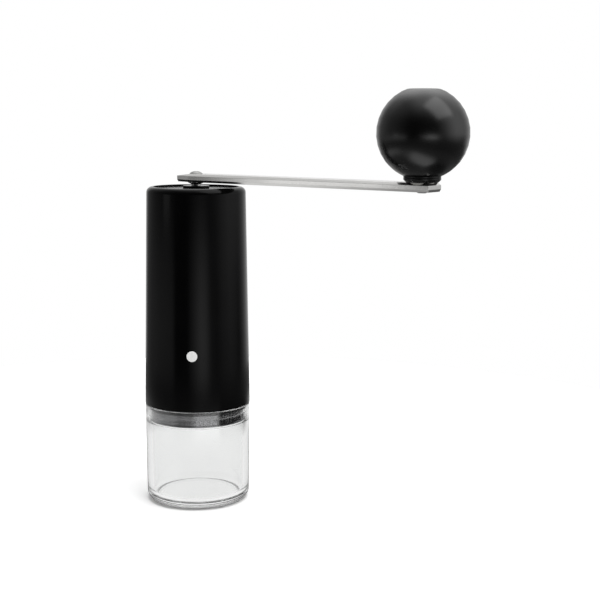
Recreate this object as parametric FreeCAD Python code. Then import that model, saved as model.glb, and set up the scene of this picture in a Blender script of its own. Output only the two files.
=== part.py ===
import FreeCAD, Part

import math
import os

# Manual coffee grinder with a screw-on clear jar and a removable crank.
# Millimetres. The origin is the centre of the jar's base on the table, +Z is up,
# and the index dot on the body faces -Y. The crank rests at CRANK_REST degrees about +Z.

os.makedirs("parts", exist_ok=True)

# Clear jar
JAR_H = 48.6
JAR_STEP = 0.1
JAR_TAPER = 0.5
JAR_WALL = 3.0
JAR_NECK_WALL = 1.65
JAR_BASE_ROUND = 5.0
JAR_FLOOR = 4.2
JAR_FLOOR_BEVEL = 4.5
JAR_BEVEL_SHARE = 0.3
JAR_LEDGE_DEPTH = 8.6
JAR_LEDGE_SLOPE = 0.5
JAR_RIM_EDGE = 0.4

# Body shell
SHELL_GAP = 0.3
SHELL_BOTTOM_R = 26.3
SHELL_TOP_R = 24.4
SHELL_TOP_Z = 157.0
SHELL_TOP_ROUND = 2.9
SHELL_WALL = 2.9
LID_RIM_W = 3.4
LID_DEPTH = 13.0
LEDGE_H = 1.5
LEDGE_W = 1.0
DOT_R = 2.6
DOT_RISE = 27.7
DOT_DEPTH = 1.0

# Jar collar, whose skirt screws into the jar and whose spigot is pressed into the shell
COLLAR_SKIRT_GAP = 0.75
COLLAR_THREAD_DEPTH = 0.35
COLLAR_SKIRT_T = 1.45
COLLAR_SHOULDER = 0.8
COLLAR_IN_JAR = 7.9
COLLAR_SKIRT_H = 3.2
COLLAR_SPIGOT_H = 10.6
COLLAR_LIP = 1.0
COLLAR_LIP_W = 1.8
COLLAR_EDGE = 0.35
SEAL_DEPTH = 1.3
SEAL_H = 1.4
SEAL_EDGE = 0.35
SEAL_GROOVE_H = 1.7
SEAL_GROOVE_DEPTH = 0.85

# Burr set
RING_BURR_EDGE_W = 3.35
RING_BURR_RISE = 4.7
BURR_FOOT_DROP = 0.8
BURR_BAND_DROP = 0.2
BURR_WAIST_RISE = 5.1
BURR_BOTTOM_W = 2.4
BURR_WAIST_W = 4.0
BURR_TOP_R = 8.2
BURR_GAP = 0.35
FINE_TEETH = 24
FINE_TOOTH_DEPTH = 0.5
FEED_TEETH = 6
FEED_LEVELS = 9
FEED_TOOTH_DEPTH = 3.4
FEED_TOP_DEPTH = 1.02
FEED_TWIST = 70.0
TOOTH_SLOPE = 0.78
RING_FINE_TEETH = 30
RING_FEED_TEETH = 9
RING_FEED_LEVELS = 5
RING_FEED_DEPTH = 0.9
RING_FEED_TWIST = 30.0
RING_TOP_W = 2.8
RETAINER_H = 1.5
RETAINER_BORE_W = 1.3
RETAINER_SLOTS = 4
RETAINER_SLOT_W = 2.5
RETAINER_SLOT_DEPTH = 1.2

# Drive shaft and its bearings
SHAFT_TAIL = 0.2
SHAFT_RISE = 7.5
SHAFT_THREAD_R = 2.5
SHAFT_R = 3.0
SHAFT_MID_R = 4.0
BURR_HEX_AF = 5.0
BURR_HEX_RISE = 1.0
BEARING_H = 5.0
BEARING_R = 6.5
BEARING_INNER_R = 4.1
LOWER_BEARING_RISE = 7.3
UPPER_BEARING_DROP = 5.7
CIRCLIP_T = 0.7
CIRCLIP_R = 4.6
CIRCLIP_GROOVE_DEPTH = 0.3
CIRCLIP_MOUTH = 2.2
SOCKET_DEPTH = 6.6
SPRING_WIRE = 0.8
SPRING_MEAN_R = 4.2
SPRING_TURNS = 4
SPRING_WASHER_T = 0.6
SPRING_WASHER_R = 5.2

# Bearing bridges and bean chamber liner
SPOKES = 3
SPOKE_W = 4.4
SPOKE_FIRST_ANGLE = 90.0
HUB_R = 8.5
HUB_EDGE = 0.8
HUB_LIP = 0.6
HUB_LIP_R = 5.5
HUB_SKIRT_R = 6.5
LOWER_RIM_H = 4.0
LOWER_HUB_RISE = 1.7
LOWER_WEB_RISE = 0.8
LOWER_WEB_DROP = 0.4
LOWER_WEB_HUB_DROP = 2.0
UPPER_RIM_H = 6.5
UPPER_RIM_W = 2.5
UPPER_HUB_FLOOR_T = 0.8
UPPER_WEB_RISE = 0.4
UPPER_WEB_HUB_RISE = 0.6
UPPER_WEB_DROP = 1.8
UPPER_WEB_HUB_DROP = 0.8
LINER_T = 0.5

# Adjusting dial
DIAL_H = 3.0
DIAL_R = 12.0
DIAL_GRIPS = 12
DIAL_GRIP_R = 1.6
DIAL_GRIP_STEP = 0.96
DIAL_HUB_R = 5.0
DIAL_DISH = 0.8
CLICK_WASHER_T = 0.5
CLICK_WASHER_R = 9.5
CLICK_PIN_R = 0.8
CLICK_PIN_H = 1.6
CLICK_PIN_PITCH_R = 7.2

# Lid
LID_GAP = 0.2
LID_RECESS = 0.9
LID_T = 1.6
LID_SKIRT_T = 1.1
LID_SEAL_RISE = 7.0
LID_SEAL_H = 1.6
LID_SEAL_GROOVE_DEPTH = 0.5
LID_HUB_R = 6.5
LID_HUB_H = 1.4
LID_HUB_EDGE = 0.3
LID_BUSH_R = 4.5
LID_BUSH_RISE = 1.6

# Crank
CRANK_REST = -34.8
CRANK_L = 128.0
BAR_RISE = 2.3
BAR_T = 4.0
BAR_W = 11.0
BAR_TIP = 9.6
BAR_TIP_W = 6.4
BAR_TIP_DROP = 1.1
BAR_TIP_BEVEL = 0.4
BAR_END = 6.3
BAR_CHAMFER = 1.1
BAR_UNDER_BEVEL = 0.45
STUB_HEX_AF = 4.0
STUB_HEX_RISE = 0.4
STUB_R = 2.35
STUB_CLEARANCE = 0.6
STUB_FLARE_R = 4.0
STUB_FLARE_H = 1.1
STUB_FLARE_RIM = 0.3
STUB_PEG_W = 3.6
STUB_PEG_H = 2.0
CLIP_T = 0.5
CLIP_R = 4.0
CLIP_GROOVE_DEPTH = 0.35
CLIP_MOUTH = 1.8
SCREW_HEAD_R = 3.3
SCREW_HEAD_H = 1.3
SCREW_R = 1.5
SCREW_L = 10.3
SCREW_SOCKET_AF = 2.5
SCREW_SOCKET_FLOOR = 0.2

# Knob
KNOB_R = 20.0
KNOB_SEAT_R = 8.5
KNOB_FLAT_R = 6.8
KNOB_BROW_R = 4.0
FERRULE_R = 8.2
FERRULE_H = 2.8
FERRULE_EDGE = 1.1
THRUST_WASHER_T = 0.35
THRUST_WASHER_R = 5.6
AXLE_R = 3.0
AXLE_TAIL_R = 2.5
AXLE_HEAD_R = 1.9
AXLE_HEAD_H = 0.6
AXLE_RISE = 10.6
KNOB_BUSH_R = 4.5
AXLE_SCREW_L = 8.0
AXLE_FLANGE_R = 4.6
AXLE_FLANGE_T = 1.4
KNOB_WELL_R = 5.0
KNOB_CAP_T = 1.5

# Clearances
RUN = 0.05
SLIDE = 0.1
SEAT = 0.05

# Cutting tools run this far past what they cut, and webs this far into a hub
PAST = 1.0

# Radii that follow from the shell, from the jar inwards
JAR_TOP_R = SHELL_BOTTOM_R - JAR_STEP
JAR_BASE_R = JAR_TOP_R - JAR_TAPER
JAR_NECK_R = JAR_TOP_R - JAR_NECK_WALL
JAR_BORE_TOP_R = JAR_TOP_R - JAR_WALL
JAR_BORE_BOTTOM_R = JAR_BASE_R - JAR_WALL
COLLAR_SKIRT_R = JAR_NECK_R - COLLAR_SKIRT_GAP
COLLAR_THREAD_R = COLLAR_SKIRT_R - COLLAR_THREAD_DEPTH
COLLAR_SKIRT_BORE_R = COLLAR_SKIRT_R - COLLAR_SKIRT_T
COLLAR_SEAT_R = COLLAR_SKIRT_R - COLLAR_SHOULDER
SEAL_GROOVE_R = COLLAR_SKIRT_R - SEAL_GROOVE_DEPTH
SEAL_OUTER_R = JAR_NECK_R - SLIDE
RING_BURR_R = COLLAR_SKIRT_BORE_R - RING_BURR_EDGE_W
COLLAR_LIP_R = RING_BURR_R - COLLAR_LIP_W
RETAINER_BORE_R = RING_BURR_R - RETAINER_BORE_W
RING_TOP_R = RING_BURR_R - RING_TOP_W
BURR_BOTTOM_R = RING_BURR_R - BURR_BOTTOM_W
BURR_WAIST_R = RING_BURR_R - BURR_WAIST_W
SHELL_BORE_R = SHELL_TOP_R - SHELL_WALL
BRIDGE_R = SHELL_BORE_R - SLIDE
LINER_BORE_R = BRIDGE_R - LINER_T
LOWER_RIM_BORE_R = COLLAR_LIP_R + SLIDE
UPPER_RIM_BORE_R = BRIDGE_R - UPPER_RIM_W
LID_SEAT_R = SHELL_TOP_R - LID_RIM_W
LEDGE_R = LID_SEAT_R - LEDGE_W
LID_R = LID_SEAT_R - LID_GAP

# Heights that follow from the jar and the shell, from the collar upwards
SHELL_BOTTOM_Z = JAR_H + SHELL_GAP
JAR_LEDGE_Z = JAR_H - JAR_LEDGE_DEPTH
COLLAR_BOTTOM_Z = JAR_H - COLLAR_IN_JAR
COLLAR_SKIRT_TOP_Z = COLLAR_BOTTOM_Z + COLLAR_SKIRT_H
COLLAR_TOP_Z = SHELL_BOTTOM_Z + COLLAR_SPIGOT_H
SEAL_Z = JAR_H - SEAL_DEPTH
DOT_Z = SHELL_BOTTOM_Z + DOT_RISE
RING_BURR_BOTTOM_Z = COLLAR_BOTTOM_Z + RING_BURR_RISE
RING_BURR_TOP_Z = COLLAR_TOP_Z - COLLAR_LIP
BURR_BOTTOM_Z = RING_BURR_BOTTOM_Z - BURR_FOOT_DROP
BURR_BAND_Z = RING_BURR_BOTTOM_Z - BURR_BAND_DROP
BURR_WAIST_Z = RING_BURR_BOTTOM_Z + BURR_WAIST_RISE
BURR_TOP_Z = COLLAR_TOP_Z
BURR_HEX_TOP_Z = BURR_TOP_Z + BURR_HEX_RISE
CLICK_WASHER_Z = BURR_BOTTOM_Z - CLICK_WASHER_T
DIAL_Z = CLICK_WASHER_Z - DIAL_H
SHAFT_BOTTOM_Z = DIAL_Z - SHAFT_TAIL
LOWER_RIM_TOP_Z = COLLAR_TOP_Z + LOWER_RIM_H
LOWER_HUB_Z = COLLAR_TOP_Z + LOWER_HUB_RISE
LOWER_BEARING_Z = COLLAR_TOP_Z + LOWER_BEARING_RISE
LID_BOTTOM_Z = SHELL_TOP_Z - LID_DEPTH + SEAT
LEDGE_Z = SHELL_TOP_Z - LID_DEPTH - LEDGE_H
UPPER_RIM_Z = LEDGE_Z - UPPER_RIM_H
UPPER_BEARING_Z = LEDGE_Z - UPPER_BEARING_DROP
SHAFT_TOP_Z = LEDGE_Z + SHAFT_RISE
LID_TOP_Z = SHELL_TOP_Z - LID_RECESS
LID_PLATE_Z = LID_TOP_Z - LID_T
LID_SEAL_Z = LEDGE_Z + LID_SEAL_RISE
LID_HUB_TOP_Z = LID_TOP_Z + LID_HUB_H
LID_BUSH_BOTTOM_Z = SHAFT_TOP_Z + LID_BUSH_RISE
STUB_BOTTOM_Z = SHAFT_TOP_Z - SOCKET_DEPTH + STUB_CLEARANCE
STUB_HEX_TOP_Z = SHAFT_TOP_Z + STUB_HEX_RISE
BAR_Z = SHELL_TOP_Z + BAR_RISE
BAR_TOP_Z = BAR_Z + BAR_T
SCREW_BOTTOM_Z = BAR_TOP_Z - SCREW_L
FERRULE_Z = BAR_TOP_Z + SLIDE
FERRULE_RECESS_Z = BAR_TOP_Z + THRUST_WASHER_T + SEAT
FERRULE_TOP_Z = FERRULE_Z + FERRULE_H
KNOB_CENTRE_Z = FERRULE_TOP_Z + math.sqrt(KNOB_R ** 2 - KNOB_SEAT_R ** 2)
KNOB_TOP_Z = KNOB_CENTRE_Z + math.sqrt(KNOB_R ** 2 - KNOB_FLAT_R ** 2)
AXLE_TOP_Z = KNOB_CENTRE_Z + AXLE_RISE
KNOB_BUSH_TOP_Z = AXLE_TOP_Z - SLIDE

UP = FreeCAD.Vector(0, 0, 1)
CENTRE = FreeCAD.Vector(0, 0, 0)


def at(x, y, z):
    return FreeCAD.Vector(x, y, z)


def polar(radius, degrees, z=0.0):
    angle = math.radians(degrees)
    return at(radius * math.cos(angle), radius * math.sin(angle), z)


def rounded_wire(corners):
    """Closed outline in the XZ plane from (r, z) or (r, z, round) corners."""
    points = [at(corner[0], 0, corner[1]) for corner in corners]
    rounds = [corner[2] if len(corner) == 3 else 0.0 for corner in corners]
    entries, exits, middles = [], [], []
    for i, point in enumerate(points):
        if rounds[i] == 0.0:
            entries.append(point)
            exits.append(point)
            middles.append(None)
            continue
        back = (points[i - 1] - point).normalize()
        ahead = (points[(i + 1) % len(points)] - point).normalize()
        half = back.getAngle(ahead) / 2
        reach = rounds[i] / math.tan(half)
        bisector = (back + ahead).normalize()
        middles.append(point + bisector * (rounds[i] / math.sin(half) - rounds[i]))
        entries.append(point + back * reach)
        exits.append(point + ahead * reach)
    edges = []
    for i, middle in enumerate(middles):
        if middle is not None:
            edges.append(Part.Arc(entries[i], middle, exits[i]).toShape())
        start, end = exits[i], entries[(i + 1) % len(points)]
        if start.distanceToPoint(end) > 1e-6:
            edges.append(Part.LineSegment(start, end).toShape())
    return Part.Wire(edges)


def turned(corners):
    """Solid of revolution about Z."""
    return Part.Face(rounded_wire(corners)).revolve(CENTRE, UP, 360)


def rod(radius, z_low, z_high, x=0.0, y=0.0):
    return Part.makeCylinder(radius, z_high - z_low, at(x, y, z_low))


def tube(bore, radius, z_low, z_high):
    return rod(radius, z_low, z_high).cut(rod(bore, z_low - PAST, z_high + PAST))


def hexagon(across_flats, z_low, z_high, turn=0.0):
    corner_r = across_flats / math.sqrt(3)
    points = [polar(corner_r, turn + 60 * i, z_low) for i in range(7)]
    return Part.Face(Part.makePolygon(points)).extrude(UP * (z_high - z_low))


def around(shape, count, first=0.0):
    """The shape and its copies, evenly spaced about Z."""
    copies = []
    for i in range(count):
        copy = shape.copy()
        copy.rotate(CENTRE, UP, first + 360.0 * i / count)
        copies.append(copy)
    return copies


def fused(shapes):
    return shapes[0].multiFuse(shapes[1:]).removeSplitter()


# Clear jar

def make_jar():
    bevel_step = JAR_BEVEL_SHARE * JAR_FLOOR_BEVEL
    return turned([
        (0, 0),
        (JAR_BASE_R, 0, JAR_BASE_ROUND),
        (JAR_TOP_R, JAR_H - JAR_RIM_EDGE),
        (JAR_TOP_R - JAR_RIM_EDGE, JAR_H),
        (JAR_NECK_R, JAR_H),
        (JAR_NECK_R, JAR_LEDGE_Z + JAR_LEDGE_SLOPE),
        (JAR_BORE_TOP_R, JAR_LEDGE_Z),
        (JAR_BORE_BOTTOM_R, JAR_FLOOR + JAR_FLOOR_BEVEL),
        (JAR_BORE_BOTTOM_R - bevel_step, JAR_FLOOR + bevel_step),
        (JAR_BORE_BOTTOM_R - JAR_FLOOR_BEVEL, JAR_FLOOR),
        (0, JAR_FLOOR),
    ])


def make_jar_seal():
    """Ring gasket in the collar's groove, its outer edges bevelled."""
    low, high = SEAL_Z - SEAL_H / 2, SEAL_Z + SEAL_H / 2
    return turned([
        (SEAL_GROOVE_R + SLIDE, low),
        (SEAL_OUTER_R - SEAL_EDGE, low),
        (SEAL_OUTER_R, low + SEAL_EDGE),
        (SEAL_OUTER_R, high - SEAL_EDGE),
        (SEAL_OUTER_R - SEAL_EDGE, high),
        (SEAL_GROOVE_R + SLIDE, high),
    ])


# Body shell with its index dot

def shell_outer_r(z):
    share = (z - SHELL_BOTTOM_Z) / (SHELL_TOP_Z - SHELL_BOTTOM_Z)
    return SHELL_BOTTOM_R + share * (SHELL_TOP_R - SHELL_BOTTOM_R)


def dot_pin(radius):
    """A rod along -Y from the floor of the dot's pocket out past the shell."""
    floor_y = DOT_DEPTH - shell_outer_r(DOT_Z)
    reach = SHELL_BOTTOM_R + floor_y + PAST
    return Part.makeCylinder(radius, reach, at(0, floor_y, DOT_Z), at(0, -1, 0))


def make_shell():
    body = turned([
        (COLLAR_SEAT_R, SHELL_BOTTOM_Z),
        (SHELL_BOTTOM_R, SHELL_BOTTOM_Z),
        (SHELL_TOP_R, SHELL_TOP_Z, SHELL_TOP_ROUND),
        (LID_SEAT_R, SHELL_TOP_Z),
        (LID_SEAT_R, LEDGE_Z + LEDGE_H),
        (LEDGE_R, LEDGE_Z + LEDGE_H),
        (LEDGE_R, LEDGE_Z),
        (SHELL_BORE_R, LEDGE_Z),
        (SHELL_BORE_R, COLLAR_TOP_Z),
        (COLLAR_SEAT_R, COLLAR_TOP_Z),
    ])
    return body.cut(dot_pin(DOT_R + RUN))


def make_index_dot():
    cone = turned([
        (0, SHELL_BOTTOM_Z),
        (SHELL_BOTTOM_R, SHELL_BOTTOM_Z),
        (SHELL_TOP_R, SHELL_TOP_Z),
        (0, SHELL_TOP_Z),
    ])
    return dot_pin(DOT_R).common(cone)


# Jar collar and the threaded ring that holds the ring burr in it

def make_jar_collar():
    groove_low = SEAL_Z - SEAL_GROOVE_H / 2
    groove_high = SEAL_Z + SEAL_GROOVE_H / 2
    land = COLLAR_SKIRT_R
    return turned([
        (COLLAR_SKIRT_BORE_R, COLLAR_BOTTOM_Z),
        (land - COLLAR_EDGE, COLLAR_BOTTOM_Z),
        (land, COLLAR_BOTTOM_Z + COLLAR_EDGE),
        (land, COLLAR_SKIRT_TOP_Z),
        (COLLAR_THREAD_R, COLLAR_SKIRT_TOP_Z),
        (COLLAR_THREAD_R, groove_low),
        (SEAL_GROOVE_R, groove_low),
        (SEAL_GROOVE_R, groove_high),
        (land, groove_high),
        (land, SHELL_BOTTOM_Z),
        (COLLAR_SEAT_R - SEAT, SHELL_BOTTOM_Z),
        (COLLAR_SEAT_R - SEAT, COLLAR_TOP_Z),
        (COLLAR_LIP_R, COLLAR_TOP_Z),
        (COLLAR_LIP_R, RING_BURR_TOP_Z),
        (RING_BURR_R + SEAT, RING_BURR_TOP_Z),
        (RING_BURR_R + SEAT, RING_BURR_BOTTOM_Z),
        (COLLAR_SKIRT_BORE_R, RING_BURR_BOTTOM_Z),
    ])


def make_burr_retainer():
    low = RING_BURR_BOTTOM_Z - RETAINER_H
    radius = COLLAR_SKIRT_BORE_R - RUN
    ring = tube(RETAINER_BORE_R, radius, low, RING_BURR_BOTTOM_Z)
    slot = Part.makeBox(radius, RETAINER_SLOT_W, RETAINER_H,
                        at(RETAINER_BORE_R - PAST, -RETAINER_SLOT_W / 2, low - RETAINER_H / 2))
    slot_r = RETAINER_BORE_R + RETAINER_SLOT_DEPTH
    reach = tube(RETAINER_BORE_R - PAST, slot_r, low - PAST, RING_BURR_BOTTOM_Z)
    for notch in around(slot.common(reach), RETAINER_SLOTS):
        ring = ring.cut(notch)
    return ring


# Burr set

def tooth_outline(z, crest_r, root_r, teeth, turn):
    """Corners of saw teeth: a steep face at each crest and a long back down to the root."""
    points = []
    step = 360.0 / teeth
    for i in range(teeth):
        points.append(polar(crest_r, turn + step * i, z))
        points.append(polar(root_r, turn + step * (i + TOOTH_SLOPE), z))
    return points


def flat_face(corners):
    return Part.Face(Part.makePolygon(corners + corners[:1]))


def toothed_cone(levels, teeth):
    """Flat-sided solid through tooth outlines; a level is (z, crest_r, root_r, turn)."""
    outlines = [tooth_outline(z, crest, root, teeth, turn) for z, crest, root, turn in levels]
    faces = [flat_face(outlines[0]), flat_face(outlines[-1])]
    for low, high in zip(outlines, outlines[1:]):
        for i in range(len(low)):
            following = (i + 1) % len(low)
            faces.append(flat_face([low[i], low[following], high[following]]))
            faces.append(flat_face([low[i], high[following], high[i]]))
    skin = Part.makeShell(faces)
    skin.sewShape()
    return Part.makeSolid(skin)


def feed_levels(z_low, z_high, low, high, twist, count):
    """Levels of a helical cone between two (crest_r, root_r) pairs."""
    levels = []
    for i in range(count):
        share = i / (count - 1)
        crest = low[0] + share * (high[0] - low[0])
        root = low[1] + share * (high[1] - low[1])
        levels.append((z_low + share * (z_high - z_low), crest, root, twist * share))
    return levels


def burr_band_r(z):
    share = (z - BURR_BAND_Z) / (BURR_WAIST_Z - BURR_BAND_Z)
    return BURR_BOTTOM_R + share * (BURR_WAIST_R - BURR_BOTTOM_R)


def make_inner_burr():
    foot = rod(BURR_BOTTOM_R - FINE_TOOTH_DEPTH, BURR_BOTTOM_Z, BURR_BAND_Z)
    root_share = 1 - FINE_TOOTH_DEPTH / BURR_BOTTOM_R
    band = toothed_cone([
        (BURR_BAND_Z, BURR_BOTTOM_R, BURR_BOTTOM_R * root_share, 0.0),
        (BURR_WAIST_Z, BURR_WAIST_R, BURR_WAIST_R * root_share, 0.0),
    ], FINE_TEETH)
    low = (BURR_WAIST_R - FINE_TOOTH_DEPTH, BURR_WAIST_R - FEED_TOOTH_DEPTH)
    high = (BURR_TOP_R, BURR_TOP_R - FEED_TOP_DEPTH)
    levels = feed_levels(BURR_WAIST_Z, BURR_TOP_Z, low, high, -FEED_TWIST, FEED_LEVELS)
    feed = toothed_cone(levels, FEED_TEETH)
    cone = foot.fuse(band).fuse(feed)
    return cone.cut(hexagon(BURR_HEX_AF + 2 * SLIDE, BURR_BOTTOM_Z - PAST, BURR_TOP_Z + PAST))


def make_ring_burr():
    low_z = RING_BURR_BOTTOM_Z
    low_r = burr_band_r(low_z) + BURR_GAP
    waist_r = BURR_WAIST_R + BURR_GAP
    blank = rod(RING_BURR_R, low_z, RING_BURR_TOP_Z)
    crest_share = 1 + FINE_TOOTH_DEPTH / low_r
    fine = toothed_cone([
        (low_z, low_r * crest_share, low_r, 0.0),
        (BURR_WAIST_Z, waist_r * crest_share, waist_r, 0.0),
    ], RING_FINE_TEETH)
    low = (waist_r + FINE_TOOTH_DEPTH, waist_r)
    high = (RING_TOP_R + RING_FEED_DEPTH, RING_TOP_R)
    levels = feed_levels(BURR_WAIST_Z, RING_BURR_TOP_Z, low, high, RING_FEED_TWIST, RING_FEED_LEVELS)
    return blank.cut(fine).cut(toothed_cone(levels, RING_FEED_TEETH))


# Bearings

def make_bearing_outer(low):
    """Outer race closed by its shields, with the balls inside."""
    return tube(BEARING_INNER_R + SLIDE, BEARING_R, low, low + BEARING_H)


def make_bearing_inner(low):
    return tube(SHAFT_R, BEARING_INNER_R, low, low + BEARING_H)


# Bearing bridges and bean chamber liner

def spoke(corners):
    """A flat web in the XZ plane, spread evenly to the spoke's width."""
    points = [at(r, -SPOKE_W / 2, z) for r, z in corners]
    return Part.Face(Part.makePolygon(points + points[:1])).extrude(at(0, SPOKE_W, 0))


def bridge(rim, web, hub):
    spokes = around(web, SPOKES, SPOKE_FIRST_ANGLE)
    return fused([rim, hub] + spokes)


def hub_bore(bearing_z, floor_z, top_z):
    """Bearing pocket open upwards, with a lip below it."""
    return turned([
        (0, floor_z - PAST),
        (HUB_SKIRT_R, floor_z - PAST),
        (HUB_SKIRT_R, bearing_z - HUB_LIP),
        (HUB_LIP_R, bearing_z - HUB_LIP),
        (HUB_LIP_R, bearing_z),
        (BEARING_R, bearing_z),
        (BEARING_R, top_z + PAST),
        (0, top_z + PAST),
    ])


def make_lower_bridge():
    rim = tube(LOWER_RIM_BORE_R, BRIDGE_R, COLLAR_TOP_Z, LOWER_RIM_TOP_Z)
    hub_top = LOWER_BEARING_Z + BEARING_H + HUB_LIP
    reach = (LOWER_RIM_BORE_R + BRIDGE_R) / 2
    web = spoke([
        (HUB_R - PAST, LOWER_HUB_Z),
        (reach, COLLAR_TOP_Z + LOWER_WEB_RISE),
        (reach, LOWER_RIM_TOP_Z - LOWER_WEB_DROP),
        (HUB_R - PAST, hub_top - LOWER_WEB_HUB_DROP),
    ])
    hub = turned([
        (0, LOWER_HUB_Z),
        (HUB_R, LOWER_HUB_Z),
        (HUB_R, hub_top - HUB_EDGE),
        (HUB_R - HUB_EDGE, hub_top),
        (0, hub_top),
    ])
    return bridge(rim, web, hub).cut(hub_bore(LOWER_BEARING_Z, LOWER_HUB_Z, hub_top))


def make_upper_bridge():
    rim = tube(UPPER_RIM_BORE_R, BRIDGE_R, UPPER_RIM_Z, LEDGE_Z)
    floor_z = UPPER_BEARING_Z - HUB_LIP - UPPER_HUB_FLOOR_T
    hub_top = UPPER_BEARING_Z + BEARING_H + HUB_LIP
    reach = (UPPER_RIM_BORE_R + BRIDGE_R) / 2
    web = spoke([
        (HUB_R - PAST, floor_z + UPPER_WEB_HUB_RISE),
        (reach, UPPER_RIM_Z + UPPER_WEB_RISE),
        (reach, LEDGE_Z - UPPER_WEB_DROP),
        (HUB_R - PAST, hub_top - UPPER_WEB_HUB_DROP),
    ])
    hub = turned([
        (0, floor_z),
        (HUB_R, floor_z),
        (HUB_R, hub_top - HUB_EDGE),
        (HUB_R - HUB_EDGE, hub_top),
        (0, hub_top),
    ])
    bore = hub_bore(UPPER_BEARING_Z, floor_z, hub_top)
    return bridge(rim, web, hub).cut(bore)


def make_chamber_liner():
    return tube(LINER_BORE_R, BRIDGE_R, LOWER_RIM_TOP_Z, UPPER_RIM_Z)


# Drive shaft and what turns with it

def make_drive_shaft():
    lower_shoulder = LOWER_BEARING_Z + BEARING_H
    socket_floor = SHAFT_TOP_Z - SOCKET_DEPTH
    groove_z = UPPER_BEARING_Z + BEARING_H
    body = rod(SHAFT_THREAD_R, SHAFT_BOTTOM_Z, CLICK_WASHER_Z)
    body = body.fuse(hexagon(BURR_HEX_AF, CLICK_WASHER_Z, BURR_HEX_TOP_Z))
    upper = turned([
        (0, BURR_HEX_TOP_Z),
        (SHAFT_R, BURR_HEX_TOP_Z),
        (SHAFT_R, lower_shoulder),
        (SHAFT_MID_R, lower_shoulder),
        (SHAFT_MID_R, UPPER_BEARING_Z),
        (SHAFT_R, UPPER_BEARING_Z),
        (SHAFT_R, groove_z),
        (SHAFT_R - CIRCLIP_GROOVE_DEPTH, groove_z),
        (SHAFT_R - CIRCLIP_GROOVE_DEPTH, groove_z + CIRCLIP_T),
        (SHAFT_R, groove_z + CIRCLIP_T),
        (SHAFT_R, SHAFT_TOP_Z),
        (0, SHAFT_TOP_Z),
    ])
    socket = hexagon(STUB_HEX_AF + SLIDE, socket_floor, SHAFT_TOP_Z + PAST, CRANK_REST)
    return body.fuse(upper).cut(socket)


def open_clip(radius, bore, z, thickness, mouth):
    """Retaining ring with its mouth towards -X."""
    ring = tube(bore, radius, z, z + thickness)
    corner = at(-radius - PAST, -mouth / 2, z - PAST)
    gap = Part.makeBox(radius + PAST, mouth, thickness + 2 * PAST, corner)
    return ring.cut(gap)


def make_shaft_circlip():
    z = UPPER_BEARING_Z + BEARING_H
    return open_clip(CIRCLIP_R, SHAFT_R - CIRCLIP_GROOVE_DEPTH, z, CIRCLIP_T, CIRCLIP_MOUTH)


def make_spring_washer():
    low = LOWER_BEARING_Z - SPRING_WASHER_T
    return tube(SHAFT_R + RUN, SPRING_WASHER_R, low, LOWER_BEARING_Z)


def make_burr_spring():
    """Square-wire spring from the burr's top to the washer under the lower bearing."""
    low = BURR_TOP_Z + RUN + SPRING_WIRE / 2
    high = LOWER_BEARING_Z - SPRING_WASHER_T - RUN - SPRING_WIRE / 2
    path = Part.makeHelix((high - low) / SPRING_TURNS, high - low, SPRING_MEAN_R)
    path.translate(at(0, 0, low))
    half = SPRING_WIRE / 2
    section = Part.makePolygon([
        at(SPRING_MEAN_R - half, 0, low - half),
        at(SPRING_MEAN_R + half, 0, low - half),
        at(SPRING_MEAN_R + half, 0, low + half),
        at(SPRING_MEAN_R - half, 0, low + half),
        at(SPRING_MEAN_R - half, 0, low - half),
    ])
    return Part.Wire(path.Edges).makePipeShell([section], True, True)


def make_click_washer():
    plate = rod(CLICK_WASHER_R, CLICK_WASHER_Z, BURR_BOTTOM_Z)
    return plate.cut(hexagon(BURR_HEX_AF + 2 * SLIDE, CLICK_WASHER_Z - PAST, BURR_BOTTOM_Z + PAST))


# Adjusting dial

def make_adjust_dial():
    top = CLICK_WASHER_Z - SEAT
    dial = turned([
        (SHAFT_THREAD_R + RUN, DIAL_Z),
        (DIAL_HUB_R, DIAL_Z),
        (DIAL_HUB_R, DIAL_Z + DIAL_DISH),
        (DIAL_R, DIAL_Z + DIAL_DISH),
        (DIAL_R, top),
        (SHAFT_THREAD_R + RUN, top),
    ])
    grip = rod(DIAL_GRIP_R, DIAL_Z, top + PAST, DIAL_R + DIAL_GRIP_STEP)
    for notch in around(grip, DIAL_GRIPS):
        dial = dial.cut(notch)
    return dial.cut(rod(CLICK_PIN_R + RUN, top - CLICK_PIN_H, top + PAST, CLICK_PIN_PITCH_R))


def make_click_pin():
    top = CLICK_WASHER_Z - SEAT
    return rod(CLICK_PIN_R, top - CLICK_PIN_H, top, CLICK_PIN_PITCH_R)


# Lid

def make_lid():
    skirt_bore = LID_R - LID_SKIRT_T
    groove_r = LID_R - LID_SEAL_GROOVE_DEPTH
    groove_low = LID_SEAL_Z - LID_SEAL_H / 2 - RUN
    groove_high = LID_SEAL_Z + LID_SEAL_H / 2 + RUN
    return turned([
        (LID_BUSH_R, LID_PLATE_Z),
        (skirt_bore, LID_PLATE_Z),
        (skirt_bore, LID_BOTTOM_Z),
        (LID_R, LID_BOTTOM_Z),
        (LID_R, groove_low),
        (groove_r, groove_low),
        (groove_r, groove_high),
        (LID_R, groove_high),
        (LID_R, LID_TOP_Z),
        (LID_BUSH_R, LID_TOP_Z),
    ])


def make_lid_seal():
    half = LID_SEAL_H / 2
    bore = LID_R - LID_SEAL_GROOVE_DEPTH
    return tube(bore, LID_SEAT_R - RUN, LID_SEAL_Z - half, LID_SEAL_Z + half)


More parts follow.
